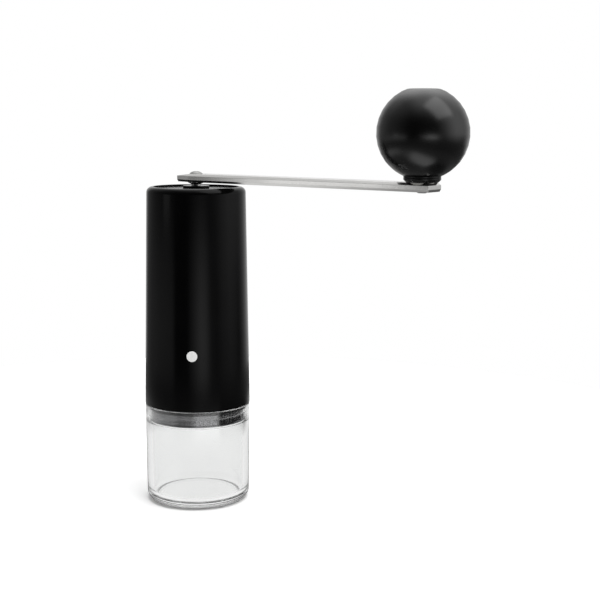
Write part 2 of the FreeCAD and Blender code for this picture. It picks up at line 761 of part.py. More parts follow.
def make_lid_bush():
    return turned([
        (STUB_R + RUN, LID_BUSH_BOTTOM_Z),
        (LID_BUSH_R, LID_BUSH_BOTTOM_Z),
        (LID_BUSH_R, LID_TOP_Z),
        (LID_HUB_R, LID_TOP_Z),
        (LID_HUB_R, LID_HUB_TOP_Z - LID_HUB_EDGE),
        (LID_HUB_R - LID_HUB_EDGE, LID_HUB_TOP_Z),
        (STUB_R + RUN, LID_HUB_TOP_Z),
    ])


# Crank, modelled along +X and then turned to its rest

def bar_outline(z, inset, tip_inset):
    """The bar's plan, tapered from the shaft to its free tip."""
    half, tip_half = BAR_W / 2 - inset, BAR_TIP_W / 2 - inset
    tip_x, end_x = tip_inset - BAR_TIP, CRANK_L + BAR_END - inset
    points = [
        at(tip_x, -tip_half, z), at(0, -half, z), at(end_x, -half, z),
        at(end_x, half, z), at(0, half, z), at(tip_x, tip_half, z),
    ]
    return Part.makePolygon(points + points[:1])


def make_crank_bar():
    low, high = BAR_Z, BAR_TOP_Z
    levels = [
        bar_outline(low, BAR_UNDER_BEVEL, BAR_TIP_BEVEL),
        bar_outline(low + BAR_CHAMFER, 0.0, 0.0),
        bar_outline(high - BAR_CHAMFER, 0.0, 0.0),
        bar_outline(high, BAR_CHAMFER, BAR_TIP_BEVEL),
    ]
    bar = Part.makeLoft(levels, True, True)
    far_x = -BAR_TIP - PAST
    slope = Part.makePolygon([
        at(far_x, -BAR_W, high + far_x * BAR_TIP_DROP / BAR_TIP),
        at(0, -BAR_W, high),
        at(0, -BAR_W, high + PAST),
        at(far_x, -BAR_W, high + PAST),
        at(far_x, -BAR_W, high + far_x * BAR_TIP_DROP / BAR_TIP),
    ])
    wedge = Part.Face(slope).extrude(at(0, 2 * BAR_W, 0))
    bar = bar.cut(wedge)
    peg = STUB_PEG_W + 2 * RUN
    bar = bar.cut(Part.makeBox(peg, peg, STUB_PEG_H, at(-peg / 2, -peg / 2, low)))
    bar = bar.cut(rod(SCREW_R + SLIDE, low - PAST, high + PAST))
    return bar.cut(rod(AXLE_TAIL_R, low - PAST, high + PAST, CRANK_L))


def make_drive_stub():
    hexagonal = hexagon(STUB_HEX_AF, STUB_BOTTOM_Z, STUB_HEX_TOP_Z)
    clip_z = LID_BUSH_BOTTOM_Z - RUN - CLIP_T
    journal = turned([
        (0, STUB_HEX_TOP_Z),
        (STUB_R, STUB_HEX_TOP_Z),
        (STUB_R, clip_z),
        (STUB_R - CLIP_GROOVE_DEPTH, clip_z),
        (STUB_R - CLIP_GROOVE_DEPTH, clip_z + CLIP_T),
        (STUB_R, clip_z + CLIP_T),
        (STUB_R, BAR_Z - STUB_FLARE_H),
        (STUB_FLARE_R, BAR_Z - STUB_FLARE_RIM),
        (STUB_FLARE_R, BAR_Z),
        (0, BAR_Z),
    ])
    corner = at(-STUB_PEG_W / 2, -STUB_PEG_W / 2, BAR_Z)
    peg = Part.makeBox(STUB_PEG_W, STUB_PEG_W, STUB_PEG_H - SEAT, corner)
    stub = hexagonal.fuse(journal).fuse(peg)
    return stub.cut(rod(SCREW_R, SCREW_BOTTOM_Z, BAR_TOP_Z))


def make_stub_clip():
    clip_z = LID_BUSH_BOTTOM_Z - RUN - CLIP_T
    return open_clip(CLIP_R, STUB_R - CLIP_GROOVE_DEPTH, clip_z, CLIP_T, CLIP_MOUTH)


def make_crank_screw():
    """Domed head on the bar and a plain shank down into the stub."""
    rise = SCREW_HEAD_H
    dome_r = (SCREW_HEAD_R ** 2 + rise ** 2) / (2 * rise)
    half = math.asin(SCREW_HEAD_R / dome_r) / 2
    centre_z = BAR_TOP_Z + rise - dome_r
    rim = at(SCREW_HEAD_R, 0, BAR_TOP_Z)
    middle = at(dome_r * math.sin(half), 0, centre_z + dome_r * math.cos(half))
    crown = at(0, 0, BAR_TOP_Z + rise)
    foot = at(0, 0, SCREW_BOTTOM_Z)
    corner = at(SCREW_R, 0, SCREW_BOTTOM_Z)
    shoulder = at(SCREW_R, 0, BAR_TOP_Z)
    outline = Part.Wire([
        Part.LineSegment(foot, corner).toShape(),
        Part.LineSegment(corner, shoulder).toShape(),
        Part.LineSegment(shoulder, rim).toShape(),
        Part.Arc(rim, middle, crown).toShape(),
        Part.LineSegment(crown, foot).toShape(),
    ])
    screw = Part.Face(outline).revolve(CENTRE, UP, 360)
    socket_floor = BAR_TOP_Z + SCREW_SOCKET_FLOOR
    return screw.cut(hexagon(SCREW_SOCKET_AF, socket_floor, crown.z + PAST))


def make_knob_axle():
    axle = turned([
        (0, BAR_Z - AXLE_HEAD_H),
        (AXLE_HEAD_R, BAR_Z - AXLE_HEAD_H),
        (AXLE_TAIL_R, BAR_Z),
        (AXLE_TAIL_R, BAR_TOP_Z),
        (AXLE_R, BAR_TOP_Z),
        (AXLE_R, AXLE_TOP_Z),
        (SCREW_R, AXLE_TOP_Z),
        (SCREW_R, AXLE_TOP_Z - AXLE_SCREW_L - SLIDE),
        (0, AXLE_TOP_Z - AXLE_SCREW_L - SLIDE),
    ])
    axle.translate(at(CRANK_L, 0, 0))
    return axle


def make_thrust_washer():
    washer = tube(AXLE_R + RUN, THRUST_WASHER_R, BAR_TOP_Z, BAR_TOP_Z + THRUST_WASHER_T)
    washer.translate(at(CRANK_L, 0, 0))
    return washer


def make_axle_screw():
    """Flanged screw in the axle's top, whose flange keeps the knob on."""
    high = AXLE_TOP_Z + AXLE_FLANGE_T
    screw = rod(SCREW_R, AXLE_TOP_Z - AXLE_SCREW_L, AXLE_TOP_Z + SEAT)
    screw = screw.fuse(rod(AXLE_FLANGE_R, AXLE_TOP_Z, high))
    screw = screw.cut(hexagon(SCREW_SOCKET_AF, AXLE_TOP_Z + SEAT, high + PAST))
    screw.translate(at(CRANK_L, 0, 0))
    return screw


# Knob, turned about its own axle

def make_knob_ball():
    """Ball whose flat top meets the round by a small arc, the brow, touching both."""
    seat_z = FERRULE_TOP_Z
    brow_z = KNOB_TOP_Z - KNOB_BROW_R
    brow_rise = brow_z - KNOB_CENTRE_Z
    brow_r = math.sqrt((KNOB_R - KNOB_BROW_R) ** 2 - brow_rise ** 2)
    lean = math.atan2(brow_r, brow_rise)
    low = at(KNOB_SEAT_R, 0, seat_z)
    side = at(KNOB_R, 0, KNOB_CENTRE_Z)
    shoulder = at(KNOB_R * math.sin(lean), 0, KNOB_CENTRE_Z + KNOB_R * math.cos(lean))
    turn = at(brow_r + KNOB_BROW_R * math.sin(lean / 2), 0,
              brow_z + KNOB_BROW_R * math.cos(lean / 2))
    brim = at(brow_r, 0, KNOB_TOP_Z)
    outline = Part.Wire([
        Part.LineSegment(at(0, 0, seat_z), low).toShape(),
        Part.Arc(low, side, shoulder).toShape(),
        Part.Arc(shoulder, turn, brim).toShape(),
        Part.LineSegment(brim, at(0, 0, KNOB_TOP_Z)).toShape(),
        Part.LineSegment(at(0, 0, KNOB_TOP_Z), at(0, 0, seat_z)).toShape(),
    ])
    ball = Part.Face(outline).revolve(CENTRE, UP, 360)
    ball = ball.cut(rod(KNOB_BUSH_R, seat_z - PAST, AXLE_TOP_Z))
    ball = ball.cut(rod(KNOB_WELL_R, KNOB_BUSH_TOP_Z, KNOB_TOP_Z + PAST))
    ball.translate(at(CRANK_L, 0, 0))
    return ball


def make_knob_ferrule():
    ferrule = turned([
        (KNOB_BUSH_R, FERRULE_RECESS_Z),
        (THRUST_WASHER_R + SLIDE, FERRULE_RECESS_Z),
        (THRUST_WASHER_R + SLIDE, FERRULE_Z),
        (FERRULE_R - FERRULE_EDGE, FERRULE_Z),
        (FERRULE_R, FERRULE_Z + FERRULE_EDGE),
        (FERRULE_R, FERRULE_TOP_Z),
        (KNOB_BUSH_R, FERRULE_TOP_Z),
    ])
    ferrule.translate(at(CRANK_L, 0, 0))
    return ferrule


def make_knob_bush():
    bush = tube(AXLE_R + RUN, KNOB_BUSH_R, FERRULE_RECESS_Z, KNOB_BUSH_TOP_Z)
    bush.translate(at(CRANK_L, 0, 0))
    return bush


def make_knob_cap():
    return rod(KNOB_WELL_R, KNOB_TOP_Z - KNOB_CAP_T, KNOB_TOP_Z, CRANK_L)


def turned_to_rest(shape):
    shape.rotate(CENTRE, UP, CRANK_REST)
    return shape


fixed_parts = {
    "jar": make_jar(),
    "jar_seal": make_jar_seal(),
    "shell": make_shell(),
    "index_dot": make_index_dot(),
    "jar_collar": make_jar_collar(),
    "burr_retainer": make_burr_retainer(),
    "ring_burr": make_ring_burr(),
    "lower_bridge": make_lower_bridge(),
    "lower_bearing_outer": make_bearing_outer(LOWER_BEARING_Z),
    "chamber_liner": make_chamber_liner(),
    "upper_bridge": make_upper_bridge(),
    "upper_bearing_outer": make_bearing_outer(UPPER_BEARING_Z),
    "drive_shaft": make_drive_shaft(),
    "lower_bearing_inner": make_bearing_inner(LOWER_BEARING_Z),
    "upper_bearing_inner": make_bearing_inner(UPPER_BEARING_Z),
    "shaft_circlip": make_shaft_circlip(),
    "spring_washer": make_spring_washer(),
    "burr_spring": make_burr_spring(),
    "inner_burr": make_inner_burr(),
    "click_washer": make_click_washer(),
    "adjust_dial": make_adjust_dial(),
    "click_pin": make_click_pin(),
    "lid": make_lid(),
    "lid_seal": make_lid_seal(),
    "lid_bush": make_lid_bush(),
}

crank_parts = {
    "crank_bar": make_crank_bar(),
    "drive_stub": make_drive_stub(),
    "stub_clip": make_stub_clip(),
    "crank_screw": make_crank_screw(),
    "knob_axle": make_knob_axle(),
    "thrust_washer": make_thrust_washer(),
    "axle_screw": make_axle_screw(),
    "knob_ball": make_knob_ball(),
    "knob_ferrule": make_knob_ferrule(),
    "knob_bush": make_knob_bush(),
    "knob_cap": make_knob_cap(),
}

for name, shape in fixed_parts.items():
    shape.exportStep("parts/" + name + ".step")
for name, shape in crank_parts.items():
    turned_to_rest(shape).exportStep("parts/" + name + ".step")
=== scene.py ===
import math

import bmesh
import bpy
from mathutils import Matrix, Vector


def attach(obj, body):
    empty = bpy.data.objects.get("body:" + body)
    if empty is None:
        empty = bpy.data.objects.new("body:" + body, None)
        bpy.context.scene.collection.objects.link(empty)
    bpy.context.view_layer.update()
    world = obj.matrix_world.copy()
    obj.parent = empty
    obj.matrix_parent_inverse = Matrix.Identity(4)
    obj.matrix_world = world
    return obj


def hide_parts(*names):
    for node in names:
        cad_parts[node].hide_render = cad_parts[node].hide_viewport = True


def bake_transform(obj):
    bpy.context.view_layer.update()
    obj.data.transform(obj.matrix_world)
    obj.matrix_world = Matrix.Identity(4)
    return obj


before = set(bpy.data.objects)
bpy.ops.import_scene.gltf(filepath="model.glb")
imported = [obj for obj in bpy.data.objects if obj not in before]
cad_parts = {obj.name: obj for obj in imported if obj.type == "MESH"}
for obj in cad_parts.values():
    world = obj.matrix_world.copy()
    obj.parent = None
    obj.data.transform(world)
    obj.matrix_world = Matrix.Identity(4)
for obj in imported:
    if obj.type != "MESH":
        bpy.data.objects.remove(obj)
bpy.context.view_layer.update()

# The grinder's sizes are written in millimetres, as on a drawing, and times MM they are metres.
MM = 0.001
GRINDER_AXIS = (0.0, 0.0)
KNOB_AXIS = (105.107, -73.051)
CRANK_TURN = math.radians(-34.8)

# Heights that are needed in more than one place.
BODY_FOOT = 48.9
BODY_TOP = 157.0
COLLAR_TOP = 59.5
CHAMBER_TOP = 142.5
LOW_BEARING = 66.8
TOP_BEARING = 136.8
BAR_TOP = 163.3
FERRULE_TOP = 166.2
BUSH_TOP = 194.8
AXLE_TOP = 194.9
KNOB_TOP = 203.112

# Radii and widths that are needed in more than one place.
SHAFT_RADIUS = 3.0
WASHER_BORE = 3.05
BUSH_RADIUS = 4.5
STUB_RADIUS = 2.35
BEARING_WIDTH = 5.0
KEY_SOCKET = 2.5

# The jar's thread.
THREAD_LEAD = 4.0
THREAD_TURNS = 0.85
THREAD_CREST = 0.15
THREAD_STEPS = 96

# A corner that bends by more than the first, in degrees, stays crisp in the shading, and faces
# that bend by less than the second are one flat face.
CRISP_ANGLE = 30.0
FLAT_ANGLE = 1.0
# The rounds of a profile: up to each radius, how many degrees one facet takes.
ROUND_FACETS = [(1.0, 15.0), (3.0, 7.5), (math.inf, 3.0)]
# Points closer than these, in metres, count as one: on a profile as drawn, on one that has its
# rounds, on a spun or swept piece, and on a copy from the CAD.
PROFILE_GAP = 1e-9
ROUNDED_GAP = 1e-8
PIECE_GAP = 1e-7
COPY_GAP = 1e-6


# Picking up and putting down

def put_down():
    """Leave nothing selected, so that the next operator acts on its own piece alone."""
    if bpy.context.mode != "OBJECT":
        bpy.ops.object.mode_set(mode="OBJECT")
    bpy.ops.object.select_all(action="DESELECT")


def pick_up(piece):
    put_down()
    piece.select_set(True)
    bpy.context.view_layer.objects.active = piece


def edit(piece, mode="VERT"):
    """Open a piece for work on its mesh, with none of it selected."""
    pick_up(piece)
    bpy.ops.object.mode_set(mode="EDIT")
    bpy.ops.mesh.select_mode(type=mode)
    bpy.ops.mesh.select_all(action="DESELECT")


def take_all():
    bpy.ops.mesh.select_all(action="SELECT")


def choose(piece, test, kind="verts"):
    """In edit mode, select the points or faces that pass the test."""
    mesh = bmesh.from_edit_mesh(piece.data)
    for item in getattr(mesh, kind):
        item.select_set(test(item))
    mesh.select_flush_mode()
    bmesh.update_edit_mesh(piece.data)


def shift(x, y, z):
    """Move the edited selection by millimetres."""
    bpy.ops.transform.translate(value=(x * MM, y * MM, z * MM))


def swing(angle):
    """Turn the edited selection about the grinder's axis."""
    bpy.ops.transform.rotate(value=angle, orient_axis="Z", center_override=(0.0, 0.0, 0.0))


def carry(piece, axis):
    """Move a piece's mesh from the grinder's axis to another upright one."""
    edit(piece)
    take_all()
    shift(axis[0], axis[1], 0.0)
    put_down()


def merge(gap):
    """Make one point of those that lie together."""
    take_all()
    bpy.ops.mesh.remove_doubles(threshold=gap)


def smooth(piece, angle=CRISP_ANGLE):
    pick_up(piece)
    bpy.ops.object.shade_smooth_by_angle(angle=math.radians(angle))


def tidy(piece):
    """Merge doubles, point the faces outwards and smooth all but the crisp corners."""
    edit(piece)
    merge(PIECE_GAP)
    bpy.ops.mesh.normals_make_consistent(inside=False)
    smooth(piece)


def settle():
    """Make a new object's place, turn and scale part of its mesh."""
    bpy.ops.object.transform_apply(location=True, rotation=True, scale=True)


def modify(piece, kind, **settings):
    """Add a modifier and make its shape the mesh's own."""
    pick_up(piece)
    modifier = piece.modifiers.new(kind.title(), kind)
    for name, value in settings.items():
        setattr(modifier, name, value)
    bpy.ops.object.modifier_apply(modifier=modifier.name)


def even_normals(piece):
    """Let the broad faces rule the shading, so that small rounds look like rounds."""
    modify(piece, "WEIGHTED_NORMAL", keep_sharp=True)


def combine(piece, tool, operation):
    """Cut the tool out of the piece or grow it onto the piece, which uses the tool up."""
    modify(piece, "BOOLEAN", object=tool, operation=operation, solver="EXACT")
    pick_up(tool)
    bpy.ops.object.delete()
    smooth(piece)


def join(name, *pieces):
    put_down()
    for piece in pieces:
        piece.select_set(True)
    bpy.context.view_layer.objects.active = pieces[0]
    bpy.ops.object.join()
    pieces[0].name = name
    pieces[0].data.name = name
    return pieces[0]


# Turning, sweeping and dressing

def arc(centre_radius, centre_height, radius, first, last, count):
    """Corners round a circle, from one angle to another, whose rounds make it one true arc."""
    step = math.radians(last - first) / count
    reach = radius / math.cos(step / 2)
    corners = []
    for i in range(count):
        angle = math.radians(first) + step * (i + 0.5)
        corners.append((centre_radius + reach * math.cos(angle),
                        centre_height + reach * math.sin(angle), radius))
    return corners


def draw_profile(corners, closed, height=0.0):
    """Start a piece in edit mode as its profile, drawn corner by corner and raised to a height."""
    put_down()
    bpy.ops.mesh.primitive_plane_add(size=MM)
    piece = bpy.context.object
    bpy.ops.object.mode_set(mode="EDIT")
    bpy.ops.mesh.select_mode(type="VERT")
    bpy.ops.mesh.merge(type="CENTER")
    shift(corners[0][0], 0.0, height + corners[0][1])
    path = corners[1:] + corners[:1] if closed else corners[1:]
    last = corners[0]
    for corner in path:
        step = ((corner[0] - last[0]) * MM, 0.0, (corner[1] - last[1]) * MM)
        bpy.ops.mesh.extrude_vertices_move(TRANSFORM_OT_translate={"value": step})
        last = corner
    merge(PROFILE_GAP)
    return piece


def round_corner(piece, before, corner, after):
    """Swap a profile's corner for a tangent arc of the corner's own radius."""
    radius = corner[2]
    here = Vector(corner[:2])
    back = (Vector(before[:2]) - here).normalized()
    ahead = (Vector(after[:2]) - here).normalized()
    half = back.angle(ahead) / 2
    reach = radius / math.tan(half)
    sweep = 180.0 - 2 * math.degrees(half)
    facet = next(degrees for limit, degrees in ROUND_FACETS if radius <= limit)
    spot = Vector((corner[0] * MM, 0.0, corner[1] * MM))
    bpy.ops.mesh.select_all(action="DESELECT")
    choose(piece, lambda point: (point.co - spot).length < ROUNDED_GAP)
    bpy.ops.mesh.bevel(offset=reach * MM, segments=max(2, math.ceil(sweep / facet)), affect="VERTICES")


def turned(name, corners, sides=128, axis=GRINDER_AXIS):
    """A turned piece: its profile drawn as corners of (radius, height, round), then spun."""
    hollow = corners[0][0] > 0 or corners[-1][0] > 0
    piece = draw_profile(corners, hollow)
    piece.name = name
    for i, corner in enumerate(corners):
        if len(corner) == 3:
            round_corner(piece, corners[i - 1], corner, corners[(i + 1) % len(corners)])
    merge(ROUNDED_GAP)
    take_all()
    bpy.ops.mesh.spin(steps=sides, angle=2 * math.pi, center=(0, 0, 0), axis=(0, 0, 1))
    tidy(piece)
    even_normals(piece)
    if axis != GRINDER_AXIS:
        carry(piece, axis)
    return piece


def hexagon_bar(across_flats, low, high, turn=0.0, edge=0.0):
    """A six-sided bar on the grinder's axis, its edges softened where a width is given."""
    put_down()
    bpy.ops.mesh.primitive_cylinder_add(vertices=6, radius=across_flats / math.sqrt(3) * MM,
                                        depth=(high - low) * MM, location=(0, 0, (low + high) / 2 * MM),
                                        rotation=(0, 0, turn + math.pi / 2))
    piece = bpy.context.object
    settle()
    if edge:
        modify(piece, "BEVEL", width=edge * MM, segments=2, limit_method="ANGLE")
        smooth(piece)
    return piece


def sweep_up(section, turns, rise, steps):
    """Sweep a section up a helix about the grinder's axis and close both ends."""
    modify(section, "SCREW", axis="Z", angle=2 * math.pi * turns, screw_offset=rise * MM,
           iterations=1, steps=steps, render_steps=steps, use_merge_vertices=False)
    edit(section, "EDGE")
    take_all()
    bpy.ops.mesh.fill_holes(sides=0)
    tidy(section)


def thread_ridge(height, root_radius, crest_radius, root_width):
    """A screw thread's ridge, wide at its root and narrow at its crest."""
    section = draw_profile([
        (root_radius, -root_width / 2), (crest_radius, -THREAD_CREST / 2),
        (crest_radius, THREAD_CREST / 2), (root_radius, root_width / 2),
    ], True, height)
    put_down()
    sweep_up(section, THREAD_TURNS, THREAD_LEAD * THREAD_TURNS, int(THREAD_STEPS * THREAD_TURNS))
    return section


def dressed_copy(name, node, edge, segments=2, angle=28.0):
    """A merged copy of a CAD node with its real corners softened."""
    put_down()
    piece = bpy.data.objects.new(name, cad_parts[node].data.copy())
    bpy.context.scene.collection.objects.link(piece)
    piece.data.materials.clear()
    edit(piece)
    merge(COPY_GAP)
    bpy.ops.mesh.dissolve_limited(angle_limit=math.radians(FLAT_ANGLE))
    put_down()
    modify(piece, "BEVEL", width=edge * MM, segments=segments, limit_method="ANGLE",
           angle_limit=math.radians(angle))
    smooth(piece)
    even_normals(piece)
    return piece


# Colouring

class Value:
    """A number that varies over a surface, as the output of a node."""

    def __init__(self, tree, socket):
        self.tree = tree
        self.socket = socket

    def other(self, output):
        """Another output of the same node."""
        return Value(self.tree, self.socket.node.outputs[output])

    def __add__(self, other):
        return self.tree.work_out("ADD", self, other)

    def __radd__(self, other):
        return self.tree.work_out("ADD", other, self)

    def __sub__(self, other):
        return self.tree.work_out("SUBTRACT", self, other)

    def __rsub__(self, other):
        return self.tree.work_out("SUBTRACT", other, self)

    def __mul__(self, other):
        return self.tree.work_out("MULTIPLY", self, other)

    def __rmul__(self, other):
        return self.tree.work_out("MULTIPLY", other, self)


class Tree:
    """The nodes of a finish, of the floor or of the studio."""

    def __init__(self, tree):
        self.nodes = tree.nodes
        self.links = tree.links

    def feed(self, socket, value):
        if isinstance(value, Value):
            self.links.new(value.socket, socket)
        elif isinstance(value, tuple) and socket.type == "RGBA":
            socket.default_value = value + (1.0,)
        else:
            socket.default_value = value

    def add(self, kind, settings, sockets, output=0):
        """Any node: its settings first, then what feeds its sockets."""
        node = self.nodes.new(kind)
        stops = settings.pop("stops", None)
        for name, value in settings.items():
            setattr(node, name, value)
        if stops:
            while len(node.color_ramp.elements) < len(stops):
                node.color_ramp.elements.new(1.0)
            for element, (place, shade) in zip(node.color_ramp.elements, stops):
                element.position = place
                element.color = (shade, shade, shade, 1.0)
        for name, value in sockets.items():
            self.feed(node.inputs[name], value)
        return Value(self, node.outputs[output])

    def work_out(self, operation, first, second):
        """A sum on two numbers, of which one or both vary."""
        return self.add("ShaderNodeMath", {"operation": operation}, {0: first, 1: second})

    def ramp(self, value, *stops):
        return self.add("ShaderNodeValToRGB", {"stops": stops}, {"Fac": value})

    def rise(self, value, low, high):
        """A smooth step from 0 to 1 as the value goes from low to high."""
        return self.add("ShaderNodeMapRange", {"interpolation_type": "SMOOTHSTEP"},
                        {"Value": value, "From Min": low, "From Max": high})

    def between(self, share, low, high):
        """A colour part of the way from one to another."""
        return self.add("ShaderNodeMix", {"data_type": "RGBA"},
                        {"Factor": share, 6: low, 7: high}, 2)

    def choice(self, share, first, second):
        """One shader or another."""
        return self.add("ShaderNodeMixShader", {}, {"Fac": share, 1: first, 2: second})


class Paint(Tree):
    """A finish: a material with its shader and the nodes that vary it."""

    def __init__(self, name, **constants):
        self.material = bpy.data.materials.new(name)
        self.material.use_nodes = True
        super().__init__(self.material.node_tree)
        self.shader = self.nodes["Principled BSDF"]
        for socket, value in constants.items():
            self.set(socket.replace("_", " "), value)

    def set(self, socket, value):
        self.feed(self.shader.inputs[socket], value)

    def place(self, scale=(1.0, 1.0, 1.0), turn=0.0, axis=GRINDER_AXIS):
        """Where a point is from an upright axis, turned about it and stretched."""
        point = self.add("ShaderNodeTexCoord", {}, {}, "Object")
        if axis != GRINDER_AXIS:
            point = self.add("ShaderNodeMapping", {"vector_type": "POINT"},
                             {"Vector": point, "Location": (-axis[0] * MM, -axis[1] * MM, 0.0)})
        return self.add("ShaderNodeMapping", {"vector_type": "POINT"},
                        {"Vector": point, "Rotation": (0.0, 0.0, turn), "Scale": scale})

    def noise(self, scale, detail=3.0, rough=0.55, where=None):
        """Uneven grey between 0 and 1 whose grains are about 1 / scale metres."""
        return self.add("ShaderNodeTexNoise", {"noise_dimensions": "3D"},
                        {"Vector": where or self.place(), "Scale": scale, "Detail": detail,
                         "Roughness": rough})

    def radius(self, axis):
        """How far a point is from an upright axis, in metres."""
        flat = self.place(scale=(1.0, 1.0, 0.0), axis=axis)
        return self.add("ShaderNodeVectorMath", {"operation": "LENGTH"}, {0: flat}, "Value")

    def roughness(self, limits, first, second, share):
        """Roughness between two limits that follows two patterns, the first by its share."""
        low, high = limits
        self.set("Roughness", low + (high - low) * (share * first + (1.0 - share) * second))

    def bump(self, height, strength, depth):
        """Relief of a depth in millimetres."""
        self.set("Normal", self.add("ShaderNodeBump", {}, {"Height": height, "Strength": strength,
                                                           "Distance": depth * MM}))


# Marks that the making leaves: how far apart the lathe tool's rings are and how deep, the scale of
# the slow wander of a coat, and how a brush stretches its scratches along and across a bar.
TOOL_PITCH = 0.09
TOOL_DEPTH = 0.006
COAT_WANDER = 45.0
BRUSH_STRETCH = (90.0, 7000.0, 7000.0)


def grained(paint, fine, depth, rough):
    """Grain in the relief, and a slow wander of the roughness over the whole piece."""
    grain = paint.noise(fine, 2.0)
    wander = paint.noise(COAT_WANDER, 3.0)
    paint.roughness(rough, wander, grain, 0.6)
    paint.bump(grain, 0.6, depth)
    return paint


def machined(paint, rough, axis=GRINDER_AXIS):
    """Fine rings left by the lathe tool, on faces and on sides alike."""
    rings_per_metre = 1.0 / (TOOL_PITCH * MM)
    height = paint.add("ShaderNodeSeparateXYZ", {}, {"Vector": paint.place()}, "Z")
    rings = paint.add("ShaderNodeCombineXYZ", {}, {
        "X": paint.radius(axis) * rings_per_metre,
        "Y": height * rings_per_metre,
        "Z": 0.0,
    })
    marks = paint.noise(1.0, 2.0, 0.6, rings)
    smudge = paint.noise(120.0, 3.0)
    paint.roughness(rough, marks, smudge, 0.5)
    paint.bump(marks, 0.5, TOOL_DEPTH)
    return paint


def brushed(paint, depth, rough, turn):
    """Long fine scratches along a bar that lies at an angle about Z."""
    streaks = paint.noise(1.0, 3.0, 0.6, paint.place(BRUSH_STRETCH, turn))
    patches = paint.noise(70.0, 2.0)
    paint.roughness(rough, streaks, patches, 0.6)
    paint.bump(streaks, 0.5, depth)
    return paint


def tinted(paint, low, high, scale):
    """Colour that wanders between two tones."""
    share = paint.ramp(paint.noise(scale, 4.0), (0.3, 0.0), (0.7, 1.0))
    paint.set("Base Color", paint.between(share, low, high))


# Finishes

def clear_jar():
    paint = Paint("clear_jar", IOR=1.49, Transmission_Weight=1.0)
    tinted(paint, (0.905, 0.91, 0.908), (0.92, 0.923, 0.92), scale=30.0)
    paint.set("Roughness", 0.002 + 0.008 * paint.noise(90.0, 3.0))
    paint.bump(paint.noise(28.0, 1.0), 0.1, 0.006)
    return paint


def satin_anodised():
    paint = Paint("satin_anodised", Specular_IOR_Level=0.11)
    tinted(paint, (0.0009, 0.0009, 0.0010), (0.0016, 0.0016, 0.0017), scale=60.0)
    return grained(paint, fine=6500.0, depth=0.003, rough=(0.13, 0.19))


def knob_lacquer():
    paint = Paint("knob_lacquer", Specular_IOR_Level=0.5)
    tinted(paint, (0.0006, 0.0006, 0.0006), (0.0012, 0.0012, 0.0012), scale=80.0)
    return grained(paint, fine=4200.0, depth=0.004, rough=(0.22, 0.28))


def glossy_black():
    paint = Paint("glossy_black", Specular_IOR_Level=0.2)
    tinted(paint, (0.003, 0.003, 0.003), (0.006, 0.006, 0.006), scale=70.0)
    return grained(paint, fine=3500.0, depth=0.0005, rough=(0.06, 0.13))


def polished_dark():
    """Dark plated steel that mirrors the table."""
    paint = Paint("polished_dark", Metallic=1.0)
    tinted(paint, (0.15, 0.15, 0.155), (0.17, 0.17, 0.175), scale=70.0)
    paint.set("Roughness", 0.03 + 0.03 * paint.noise(3500.0, 2.0))
    return paint


def moulded_black():
    paint = Paint("moulded_black", Specular_IOR_Level=0.5)
    tinted(paint, (0.006, 0.006, 0.006), (0.011, 0.011, 0.011), scale=90.0)
    return grained(paint, fine=2600.0, depth=0.012, rough=(0.38, 0.5))


def seal_rubber():
    paint = Paint("seal_rubber", Specular_IOR_Level=0.4)
    tinted(paint, (0.010, 0.010, 0.010), (0.018, 0.018, 0.017), scale=200.0)
    return grained(paint, fine=1800.0, depth=0.02, rough=(0.5, 0.68))


def dot_enamel():
    paint = Paint("dot_enamel", Specular_IOR_Level=0.5)
    tinted(paint, (0.86, 0.86, 0.85), (0.91, 0.91, 0.90), scale=300.0)
    return grained(paint, fine=1500.0, depth=0.006, rough=(0.24, 0.34))


def number_white():
    paint = Paint("number_white", Specular_IOR_Level=0.4)
    tinted(paint, (0.68, 0.68, 0.66), (0.76, 0.76, 0.74), scale=400.0)
    return grained(paint, fine=3000.0, depth=0.006, rough=(0.45, 0.6))


def bar_steel():
    paint = Paint("bar_steel", Metallic=1.0)
    tinted(paint, (0.72, 0.715, 0.70), (0.78, 0.775, 0.76), scale=50.0)
    return brushed(paint, depth=0.002, rough=(0.11, 0.18), turn=-CRANK_TURN)


def turned_steel(name, tone, rough, axis=GRINDER_AXIS):
    """Steel from the lathe, in a tone that wanders to one 8 % lighter."""
    paint = Paint(name, Metallic=1.0)
    lighter = tuple(min(1.0, share * 1.08) for share in tone)
    tinted(paint, tone, lighter, scale=150.0)
    return machined(paint, rough, axis)


def cut_steel():
    """Hardened burr steel: a dark oxide with brighter cutting edges."""
    paint = Paint("cut_steel", Metallic=1.0)
    edge = paint.add("ShaderNodeNewGeometry", {}, {}, "Pointiness")
    bright = paint.ramp(edge, (0.50, 0.0), (0.60, 1.0))
    stain = paint.noise(260.0, 4.0)
    dull = paint.between(stain, (0.30, 0.29, 0.28), (0.40, 0.39, 0.375))
    paint.set("Base Color", paint.between(bright, dull, (0.66, 0.65, 0.63)))
    paint.set("Roughness", 0.46 - 0.18 * bright - 0.08 * stain)
    paint.bump(paint.noise(5200.0, 2.0), 0.5, 0.008)
    return paint


def cast_aluminium():
    paint = Paint("cast_aluminium", Metallic=1.0)
    tinted(paint, (0.58, 0.585, 0.59), (0.66, 0.665, 0.67), scale=180.0)
    return grained(paint, fine=2400.0, depth=0.02, rough=(0.32, 0.44))


def bush_brass():
    paint = Paint("bush_brass", Metallic=1.0)
    tinted(paint, (0.70, 0.50, 0.24), (0.76, 0.56, 0.29), scale=220.0)
    return machined(paint, rough=(0.2, 0.32), axis=KNOB_AXIS)


# Fitting

def fit(piece, paint, body, slot, *nodes):
    """Give a finished piece its finish and its moving body, and hide the CAD nodes that it stands for."""
    put_down()
    piece.data.materials.clear()
    piece.data.materials.append(paint.material)
    if nodes:
        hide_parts(*nodes)
    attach(piece, body)


# The clear jar and its gasket

